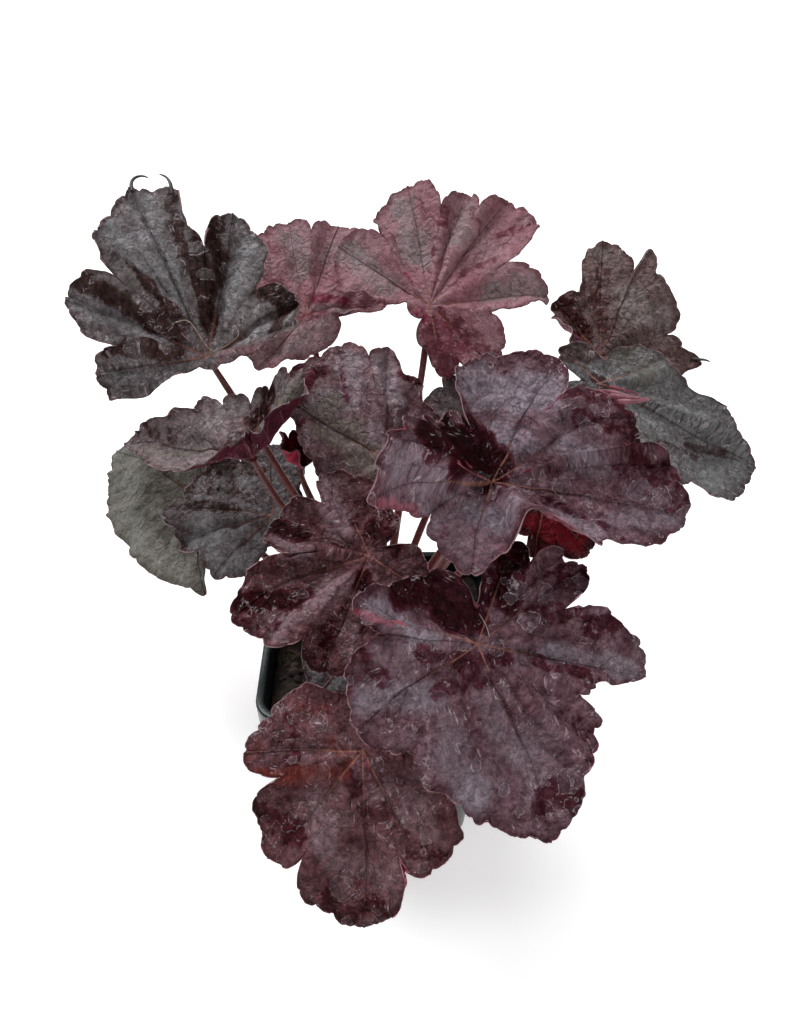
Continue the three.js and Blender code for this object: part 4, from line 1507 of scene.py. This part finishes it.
    def _channels(self) -> dict[str, np.ndarray]:
        """Values on the points for the materials, alike on both faces.

        Returns:
            The place, vein and wash channels.
        """
        apart = np.full(self.distance.shape, 60.0 * self.seed)  # so that no two blades are mottled alike
        wash = self._wash()
        grids = {
            "place": (np.concatenate([self.place, apart[..., None]], -1), (0, 0, 60.0 * self.seed)),
            "vein": (np.stack([self.across, self.distance, self.margin], -1), (0, 0, 30)),
            "wash": (wash, wash[0, 0]),
        }
        channels = {}
        for name, (grid, heart) in grids.items():
            values = grid.reshape(-1, 3)
            channels[name] = np.concatenate([values, values, [heart] * 2])
        return channels

    def _wash(self) -> np.ndarray:
        """Strength of each tone's soft patches at each point.

        Returns:
            The strengths, with the tones last.
        """
        total = np.zeros(self.distance.shape + (len(Tone),))
        ragged = 0.22 * wander(self.place, 12.0, self.seed + 9)
        for wash in self.leaf.washes:
            _, away, _ = self._stroke(wash.start, wash.end)
            patch = wash.strength * (1 - smooth_step(0.45, 1.15, away / wash.radius + ragged))
            tone = wash.tone.value
            total[..., tone] = np.maximum(total[..., tone], patch)
        return total


@dataclass
class LeafStalk:
    """The stalk of one leaf: tapered, gently crooked and finely hairy."""

    leaf: Leaf
    seed: int
    finish: StalkFinish
    foot_radius: float = 1.9
    top_radius: float = 1.2
    flare: float = 0.5  # what the radius gains where it meets the blade
    sides: int = 14
    steps: int = 44
    lift: float = 1.6  # of its foot over the crown's top
    sunk: float = 5.0  # how far it starts below that
    neck: float = 14.0
    crook: float = 0.5
    hairs: int = 130
    hair_length: float = 0.9
    hair_width: float = 0.07

    def path(self) -> np.ndarray:
        """Points of the stalk's middle line, from the crown to the blade.

        Returns:
            The points in millimetres, one row each.
        """
        normal = self.leaf.turn()[:, 2]
        angle, radius, lean = self.leaf.root
        outwards = np.array([*polar(angle, 1.0), 0.0])
        start = outwards * radius + (0, 0, Crown.top + self.lift)
        end = np.array(self.leaf.at) - normal * 0.55
        span = float(np.linalg.norm(end - start))
        leave = start + unit(outwards * lean + (0, 0, 1)) * span * 0.3
        arrive = end - normal * min(self.neck, span / 4)
        points = bezier((start, end), (leave, arrive), self.steps)
        crook = np.sin(np.linspace(0, math.pi, self.steps + 1))[:, None] * self.crook
        sway = np.stack([wander(points, 45.0, self.seed + 20 + i) for i in range(3)], -1)
        return np.concatenate([[start - (0, 0, self.sunk)], points + crook * sway])

    def build(self) -> bpy.types.Object:
        """Makes the stalk with its hairs and dresses it.

        Returns:
            The new object.
        """
        path = self.path()
        share = np.linspace(0, 1, len(path))
        radii = self.foot_radius + (self.top_radius - self.foot_radius) * share**0.7
        radii = radii * (1 + 0.05 * wander(path, 14.0, self.seed))
        radii += self.flare * np.clip((share - 0.94) / 0.06, 0, 1)
        stock = Stock(tube(path, radii, self.sides))
        heights = [np.repeat(share, self.sides), [0.0, 1.0]]
        random = np.random.default_rng(self.seed)
        for _ in range(self.hairs):
            where = random.uniform(0.06, 0.97)
            i = int(where * (len(path) - 1))
            along = path[i + 1] - path[i]
            side = unit(np.cross(along, random.normal(size=3)))
            base = path[i] + along * random.random() + side * radii[i] * 0.9
            tip = base + side * self.hair_length * random.uniform(0.5, 1.0) + along * 0.12
            width = self.hair_width * unit(along)
            other = np.cross(side, width)
            hair = np.array([base + width, base + other, base - width - other, tip])
            stock.add(hair, [(0, 1, 2), (0, 3, 1), (1, 3, 2), (2, 3, 0)])
            heights.append([where] * 4)
        height = np.concatenate(heights)
        place = {"place": np.stack([height, 0 * height, 0 * height], -1)}
        name = "stalk_" + self.leaf.name
        skin = (self.finish.material(),)
        return stock.finish("leaf_" + name, skin, [name], Slot.STALK.value, channels=place)


@dataclass(frozen=True)
class Wisps:
    """Thin curved strands: hooked ends of teeth, a rolled tip, or dry threads on a blade."""

    name: str
    slot: Slot
    finish: BarkFinish
    thick: float
    thin: float
    strands: tuple[tuple[Point, ...], ...]
    belly: float = 0.001  # share of the way along at which a strand is thickest
    sides: int = 8

    def build(self) -> bpy.types.Object:
        """Makes the strands, with their corners rounded, and dresses them.

        Returns:
            The new object.
        """
        stock = Stock()
        for strand in self.strands:
            path = np.array(strand, float)
            for _ in range(3):
                here, there = path[:-1], path[1:]
                quarters = np.stack([here * 0.75 + there * 0.25, here * 0.25 + there * 0.75], 1)
                path = np.concatenate([path[:1], quarters.reshape(-1, 3), path[-1:]])
            share = np.linspace(0, 1, len(path))
            radii = np.interp(share, (0, self.belly, 1), (self.thin, self.thick, self.thin))
            stock.add(*tube(path, radii, self.sides))
        return stock.finish(self.name, (self.finish.material(),), [], self.slot.value)


WISPS = (
    Wisps(
        "leaf_horns", Slot.GREY,
        BarkFinish("horn_skin", (0.012, 0.007, 0.006), (0.045, 0.028, 0.026), 0.5, 0.1, 0.5), 0.95, 0.22,
        (
            (
                (-96, 95, 240.5), (-97, 98.5, 242.5), (-96, 102, 243.3), (-93.5, 103.8, 243.3),
                (-91, 103, 242.8),
            ),
            ((-81, 96, 239), (-81.5, 99, 241.5), (-83, 102, 242.7), (-85, 104.5, 243), (-87, 105.5, 243.2)),
            ((-15, 61, 183), (-15, 65, 187), (-12, 67, 188.5), (-9, 66, 188)),
            ((128, 74, 178), (131, 71, 179.5), (133, 69.5, 180.3), (134.5, 67.5, 180.6)),
        ),
    ),
    Wisps(
        "rolled_tip", Slot.PLUM,
        BarkFinish("rolled_skin", (0.13, 0.03, 0.045), (0.3, 0.1, 0.125), 0.3, 0.1, 0.5), 1.1, 0.2,
        (
            ((76, 4.5, 207), (79.5, -0.5, 209.5), (84, -4.5, 210.5), (90, -7, 211)),
            ((77, 1.5, 207), (80, -2.5, 209.5), (84.5, -5.5, 210.5), (90, -7, 211)),
            ((79, 0, 206.5), (81.5, -5, 209), (85.5, -7, 210.3), (90, -7, 211)),
        ), 0.3,
    ),
    Wisps(
        "dry_threads", Slot.STALK,
        BarkFinish("straw", (0.2, 0.13, 0.1), (0.42, 0.32, 0.27), 0.6, 0.05, 0.6), 0.2, 0.12,
        (
            (
                (-79, 61, 202), (-74, 62, 203), (-70.5, 59, 199), (-67, 56, 194), (-64, 54, 193),
                (-60.5, 54, 194.5), (-56, 55, 197.5), (-53.5, 56, 199.5), (-56, 60, 201.5),
            ),
            ((31, -53, 166.3), (33, -56, 162.8), (36, -59.5, 159.4), (36.8, -62, 156.8)),
        ),
    ),
)


# ------------------------------------------------------------------ pot, soil and crown


def square_ring(width: float, corner: float, z: float, count: int) -> np.ndarray:
    """A ring of points round a square with round corners.

    Args:
        width: Width of the square.
        corner: Radius of its corners.
        z: Height of the ring.
        count: Points at each corner.

    Returns:
        The points, one row each.
    """
    middle = (width / 2 - corner) * math.sqrt(2)
    rows = []
    for quarter in range(4):
        turns = 90.0 * (quarter + np.arange(count) / (count - 1))
        rows.append(middle * polar(90.0 * (quarter + 0.5), 1.0) + corner * polar(turns, 1.0))
    return np.column_stack([np.concatenate(rows), np.full(4 * count, z)])


@dataclass
class NurseryPot:
    """The square pot: a thin tapered shell with a rolled rim, a ledge and drain holes."""

    finish: PlasticFinish
    height: float = 95.0
    rim_width: float = 94.0
    base_width: float = 74.0
    wall: float = 1.2
    floor: float = 1.6
    rim_depth: float = 11.0
    rim_step: float = 2.2
    ledge_drop: float = 24.0
    ledge_width: float = 0.9
    lip: float = 1.0  # radius of the rim's outer edge
    inner_lip: float = 0.8
    corner: float = 11.0
    corner_points: int = 14
    crease: float = 35.0
    drains: int = 4
    drain_radius: float = 3.5
    drain_offset: float = 22.0
    drain_sides: int = 24

    def wall_width(self, z: float) -> float:
        """Width over the wall's outer faces at a height, below the rim."""
        top = self.rim_width - 2 * self.rim_step
        return self.base_width + (top - self.base_width) * z / self.height

    def _profile(self) -> list[Point]:
        """The shell's rings, from the middle of its base outside to its floor inside.

        Returns:
            The width, corner radius and height of each ring.
        """
        ledge = self.height - self.ledge_drop
        foot = self.height - self.rim_depth
        corner = self.corner - self.rim_step
        profile = [
            (self.base_width - 3.0, 7.0, 0.0), (self.base_width - 1.2, 7.6, 0.5),
            (self.base_width, 8.0, 2.0),
            (self.wall_width(ledge) - self.ledge_width, corner, ledge - self.ledge_width),
            (self.wall_width(ledge), corner, ledge), (self.wall_width(foot), corner, foot),
            (self.rim_width - 1.2, self.corner, foot + 0.3), (self.rim_width - 0.5, self.corner, foot + 1.0),
        ]
        for i in range(6):
            inset, up = self.lip * (1 - math.cos(i * math.pi / 10)), self.lip * math.sin(i * math.pi / 10)
            profile.append((self.rim_width - 2 * inset, self.corner - inset, self.height - self.lip + up))
        inner = self.rim_width - 2 * self.rim_step - 2 * self.wall
        for i in range(5, -1, -1):
            inset = self.inner_lip * (1 - math.cos(i * math.pi / 10))
            z = self.height - self.inner_lip + self.inner_lip * math.sin(i * math.pi / 10)
            profile.append((inner + 2 * inset, corner - self.wall + inset, z))
        inner_floor = self.wall_width(self.floor) - 2 * self.wall
        return profile + [(inner_floor, 6.0, self.floor + 1.0), (inner_floor - 2.0, 5.5, self.floor)]

    def build(self) -> bpy.types.Object:
        """Makes the pot, drills its floor and dresses it.

        Returns:
            The new object.
        """
        rings = [square_ring(*ring, self.corner_points) for ring in self._profile()]
        stock = Stock(capped(rings, (0, 0, 0), (0, 0, self.floor)))
        plastic = (self.finish.material(),)
        pot = stock.finish("nursery_pot", plastic, ["pot"], Slot.POT.value, crease=self.crease)
        drills = Stock()
        for i in range(self.drains):
            x, y = polar((i + 0.5) * 360.0 / self.drains, self.drain_offset)
            path = np.array([(x, y, z) for z in (-6.0, 0.0, 6.0)])
            drills.add(*tube(path, np.full(3, self.drain_radius), self.drain_sides))
        cutter = show("drain_holes", drills.mesh("drain_holes"))
        cut = pot.modifiers.new("drain", "BOOLEAN")
        cut.operation = "DIFFERENCE"
        cut.solver = "EXACT"
        cut.object = cutter
        bpy.context.view_layer.update()
        shaped = bpy.data.meshes.new_from_object(pot.evaluated_get(bpy.context.evaluated_depsgraph_get()))
        pot.modifiers.clear()
        pot.data = shaped
        shaped.set_sharp_from_angle(angle=math.radians(self.crease))
        bpy.data.objects.remove(cutter)
        return pot


@dataclass
class PottingSoil:
    """Peat that fills the pot, with crumbs, white grit and moss on its top."""

    pot: NurseryPot
    top: float = 85.0
    slope: float = 2.0
    hole_radius: float = 12.6
    hole_floor: float = 66.0
    gap: float = 0.3
    rings: int = 34
    corner: float = 7.4
    corner_points: int = 40
    crumbs: int = 420
    grit: int = 34
    moss_tufts: int = 66
    moss_leaves: int = 26  # in a tuft
    moss_height: tuple[float, float] = (0.9, 2.4)
    moss_width: float = 0.22  # half a leaf's
    moss_patch: tuple[float, float] = (-30.0, -8.0)
    tuft_radius: float = 1.7

    def build(self) -> list[bpy.types.Object]:
        """Makes the soil and what lies on it.

        Returns:
            The new objects.
        """
        peat = BarkFinish("peat", (0.006, 0.005, 0.004), (0.045, 0.03, 0.02), 0.35, 0.9, 0.9)
        crumb = BarkFinish("peat_crumb", (0.012, 0.008, 0.006), (0.09, 0.055, 0.035), 0.25, 0.5, 0.9)
        grit = BarkFinish("white_grit", (0.3, 0.29, 0.26), (0.62, 0.6, 0.56), 0.6, 0.2, 0.85)
        moss = BarkFinish("moss", (0.05, 0.06, 0.025), (0.24, 0.25, 0.14), 0.4, 0.1, 0.8)
        slot = Slot.SOIL.value
        bed = self._bed().finish("potting_soil", (peat.material(),), ["soil"], slot, crease=180.0)
        random = np.random.default_rng(31)
        crumbs, grains = Stock(), Stock()
        for i in range(self.crumbs):
            size = random.uniform(0.5, 1.9) if i % 7 else random.uniform(1.8, 3.0)
            crumbs.add(*self._strewn(size, i, random, (1.0, random.uniform(0.5, 1.0), 0.6)))
        for i in range(self.grit):
            grains.add(*self._strewn(random.uniform(0.5, 1.2), 900 + i, random, (1.0, 1.0, 0.8)))
        return [
            bed,
            crumbs.finish("soil_crumbs", (crumb.material(),), [], slot),
            grains.finish("soil_grit", (grit.material(),), [], slot),
            self._moss(random).finish("soil_moss", (moss.material(),), [], slot),
        ]

    def surface(self, flat: np.ndarray) -> np.ndarray:
        """Places with their heights on the soil's top.

        Args:
            flat: The places, with x and y last.

        Returns:
            The points, with x, y and z last.
        """
        away = np.abs(flat).max(axis=-1) / (self.pot.wall_width(self.top) / 2)
        lumps = 0.7 * wander(flat, 17.0, 41) + 0.35 * wander(flat, 6.0, 42) + 0.16 * wander(flat, 2.6, 43)
        height = self.top + 1.0 - self.slope * away**3 + 0.7 * lumps * (1 - 0.6 * away**4)
        return np.concatenate([flat, height[..., None]], -1)

    def _bed(self) -> Stock:
        """The closed body of the soil, with the hole in which the crown stands.

        Returns:
            The closed form.
        """
        slack = 2 * self.pot.wall + 2 * self.gap
        inner = self.pot.wall_width(self.top) - slack
        outline = square_ring(inner, self.corner, 0.0, self.corner_points)[:, :2]
        hole = self.hole_radius * unit(outline)
        bottom = self.pot.floor + self.gap
        base = outline * ((self.pot.wall_width(bottom) - slack) / inner)
        rows = [np.column_stack([base, np.full(len(base), bottom)])]
        shares = np.linspace(1, 0, self.rings + 1)
        rows += [self.surface(hole + (outline - hole) * share) for share in shares]
        rows.append(np.column_stack([hole, np.full(len(hole), self.hole_floor)]))
        return Stock(capped(rows, (0, 0, bottom), (0, 0, self.hole_floor)))

    def _spot(self, random: np.random.Generator) -> np.ndarray:
        """A random place on the soil, clear of the crown and of the pot's wall.

        Args:
            random: Generator of the place.

        Returns:
            The point.
        """
        limit = self.pot.wall_width(self.top) / 2 - 5.0
        while True:
            flat = random.uniform(-limit, limit, 2)
            if math.hypot(*flat) > self.hole_radius + 2.0:
                return self.surface(flat)

    def _strewn(self, size: float, seed: int, random: np.random.Generator, stretch: Point) -> Solid:
        """One grain, turned at random and sunk a little into the soil.

        Args:
            size: Its radius.
            seed: Seed of its shape.
            random: Generator of its place and turn.
            stretch: Its proportions.

        Returns:
            Its points and its faces.
        """
        points, faces = lump(size, seed, 1 if size > 1.2 else 0)
        tilt = random.uniform(-0.4, 0.4), random.uniform(-0.4, 0.4), random.uniform(0, 6.3)
        turn = np.array(Euler(tilt).to_matrix())
        return (points * stretch) @ turn.T + self._spot(random) + (0, 0, size * 0.2), faces

    def _moss(self, random: np.random.Generator) -> Stock:
        """Tufts of small pointed leaves, thickest at the left and front of the pot.

        Args:
            random: Generator of the tufts.

        Returns:
            The tufts.
        """
        stock = Stock()
        for i in range(self.moss_tufts):
            spot = self._spot(random)
            if i % 3 == 0:
                spot = self.surface(np.array(self.moss_patch) + random.normal(scale=4.0, size=2))
            elif spot[0] > 8 and random.random() < 0.75:
                continue
            for _ in range(self.moss_leaves):
                base = spot + (*random.normal(scale=self.tuft_radius, size=2), -0.3)
                lean = random.normal(scale=0.7, size=2)
                tip = base + (*lean, random.uniform(*self.moss_height))
                across = np.cross(tip - base, (random.normal(), random.normal(), 0.1))
                side = self.moss_width * unit(across)
                middle = base + (tip - base) * 0.45
                leaf = np.array([base, middle + side, tip, middle - side, middle + (0, 0, 0.2)])
                stock.add(leaf, [(0, 1, 4), (1, 2, 4), (2, 3, 4), (3, 0, 4), (0, 3, 2, 1)])
        return stock


@dataclass
class Crown:
    """The woody rootstock, with a dry sheath round the foot of each stalk."""

    finish: BarkFinish
    radius: float = 12.0
    top: float = 92.0
    foot: float = 66.3
    rows: int = 40
    columns: int = 72
    sheath_height: float = 10.0
    sheath_radius: float = 2.4
    sheath_flare: float = 0.9
    sheath_wrap: float = 1.9  # how far it reaches round to each side, in radians
    sheath_wall: float = 0.3
    sheath_sunk: float = 3.5  # how far it starts below the stalk's foot

    def build(self, leaves: Sequence[Leaf]) -> list[bpy.types.Object]:
        """Makes the rootstock and the sheaths of its leaves.

        Args:
            leaves: The leaves that grow from it.

        Returns:
            The new objects.
        """
        skin = BarkFinish("dry_sheath", (0.09, 0.03, 0.015), (0.36, 0.17, 0.08), 0.22, 0.25, 0.6, 0.3)
        sheaths = Stock(*(self._sheath(leaf, 60 + seed) for seed, leaf in enumerate(leaves)))
        slot = Slot.CROWN.value
        return [
            self._wood().finish("crown_rootstock", (self.finish.material(),), ["crown"], slot),
            sheaths.finish("crown_sheaths", (skin.material(),), [], slot),
        ]

    def _wood(self) -> Stock:
        """The rootstock: a stump with a domed top and an uneven side.

        Returns:
            The closed form.
        """
        profile = np.array([
            (self.radius - 4, self.foot), (self.radius - 1, self.foot + 6), (self.radius, 81.0),
            (self.radius - 0.3, 85.0), (self.radius - 1, 88.0), (self.radius - 2, self.top - 2),
            (self.radius - 4, self.top - 0.6), (self.radius - 7, self.top),
            (self.radius - 10, self.top + 0.2),
        ])
        marks, stations = np.linspace(0, 1, self.rows), np.linspace(0, 1, len(profile))
        radii, heights = (np.interp(marks, stations, profile[:, i]) for i in (0, 1))
        compass = polar(np.arange(self.columns) * 360.0 / self.columns, 1.0)
        rings = []
        for radius, z in zip(radii, heights):
            ring = np.column_stack([radius * compass, np.full(self.columns, z)])
            shrink = 1 - 0.05 * (1.2 + wander(ring * (1, 1, 0.6), 7.0, 51)) - 0.02 * wander(ring, 2.5, 52)
            rings.append(np.column_stack([ring[:, :2] * shrink[:, None], ring[:, 2]]))
        return Stock(capped(rings, (0, 0, self.foot), (0, 0, self.top + 0.3)))

    def _sheath(self, leaf: Leaf, seed: int) -> Solid:
        """One sheath: a thin open sleeve whose mouth flares and is torn.

        Args:
            leaf: The leaf whose stalk it clasps.
            seed: Seed of its shape.

        Returns:
            Its points and its faces.
        """
        random = np.random.default_rng(seed)
        path = LeafStalk(leaf, 0, StalkFinish()).path()
        root = path[1]
        lean = unit(path[6] - root)
        span = np.linspace(-self.sheath_wrap, self.sheath_wrap, 13)
        compass = np.column_stack([polar(leaf.root[0] + np.degrees(span), 1.0), np.zeros(len(span))])
        height = self.sheath_height * random.uniform(0.7, 1.4)
        rows = []
        for share in np.linspace(0, 1, 6):
            torn = 1 - 0.45 * np.abs(span / self.sheath_wrap) ** 2 * share
            torn += 0.12 * share * wander(span[:, None], 0.9, seed)
            ring = compass * (self.sheath_radius + self.sheath_flare * share**3)
            rise = height * share * torn - self.sheath_sunk * (1 - share)
            rows.append(root + ring + np.outer(rise, lean))
        outer = np.concatenate(rows)
        axis = root + np.outer(outer @ lean - root @ lean, lean)
        return sheet(outer, outer + unit(axis - outer) * self.sheath_wall, len(rows), len(span))


# ------------------------------------------------------------------ studio


@dataclass
class Studio:
    """The pale floor, the soft light and the camera."""

    eye: Point = (8.2, -268.5, 382.5)
    look_down: float = 40.0
    lens: float = 33.4
    sensor: float = 36.0
    floor_size: float = 24.0
    sky: float = 0.3
    sky_color: Color = (0.97, 0.985, 1.0)
    glow: float = 0.4

    def camera(self) -> None:
        """Adds the camera and makes it the scene's."""
        data = bpy.data.cameras.new("camera")
        data.lens = self.lens
        data.sensor_width = self.sensor
        data.clip_start = 0.01
        camera = show("camera", data)
        camera.location = Vector(self.eye) * MM
        camera.rotation_euler = (math.radians(90 - self.look_down), 0, 0)
        bpy.context.scene.camera = camera

    def light(self) -> None:
        """Adds a dim pale sky, a broad light above and behind, and a weak one in front."""
        world = bpy.data.worlds.new("pale_sky")
        world.use_nodes = True
        background = world.node_tree.nodes["Background"].inputs
        background["Color"].default_value = (*self.sky_color, 1.0)
        background["Strength"].default_value = self.sky
        bpy.context.scene.world = world
        bpy.context.scene.view_settings.view_transform = "Standard"
        self._lamp("window", (-0.42, 0.5, 1.0), 38.0, 3.2, (0.96, 0.98, 1.0))
        self._lamp("fill", (0.6, -0.9, 1.0), 70.0, 0.85, (1.0, 0.98, 0.96))

    def _lamp(self, name: str, towards: Point, spread: float, strength: float, color: Color) -> None:
        """Adds a broad even light from far away.

        Args:
            name: Its name.
            towards: The direction from the plant to it.
            spread: How wide it looks from the plant, in degrees.
            strength: Its strength.
            color: Its colour.
        """
        data = bpy.data.lights.new(name, "SUN")
        data.angle = math.radians(spread)
        data.energy = strength
        data.color = color
        light = show(name, data)
        light.location = towards
        light.rotation_euler = Vector(towards).to_track_quat("Z", "Y").to_euler()

    def floor(self) -> None:
        """Adds the floor, which is no part of the plant."""
        half = self.floor_size / 2
        mesh = bpy.data.meshes.new("floor")
        plane = [(-half, -half, 0), (half, -half, 0), (half, half, 0), (-half, half, 0)]
        mesh.from_pydata(plane, [], [(0, 1, 2, 3)])
        mesh.materials.append(StageFinish(self.glow).material())
        floor = show("floor", mesh)


def main() -> None:
    """Builds the plant from the pot upwards, and its studio."""
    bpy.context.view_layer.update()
    studio = Studio()
    studio.camera()
    studio.light()
    studio.floor()
    pot = NurseryPot(PlasticFinish())
    LOG.info("built %s", pot.build().name)
    for piece in PottingSoil(pot).build():
        LOG.info("built %s", piece.name)
    bark = BarkFinish("rootstock_bark", (0.02, 0.01, 0.007), (0.13, 0.06, 0.032), 0.3, 0.8, 0.85, 0.5)
    for piece in Crown(bark).build(LEAVES):
        LOG.info("built %s", piece.name)
    stalk_finish = StalkFinish()
    for seed, leaf in enumerate(LEAVES):
        LOG.info("built %s", LeafBlade(leaf, seed + 1).build().name)
        LOG.info("built %s", LeafStalk(leaf, seed + 101, stalk_finish).build().name)
    for wisps in WISPS:
        LOG.info("built %s", wisps.build().name)


if __name__ == "__main__":
    logging.basicConfig(level=logging.INFO, format="%(name)s: %(message)s")
    main()
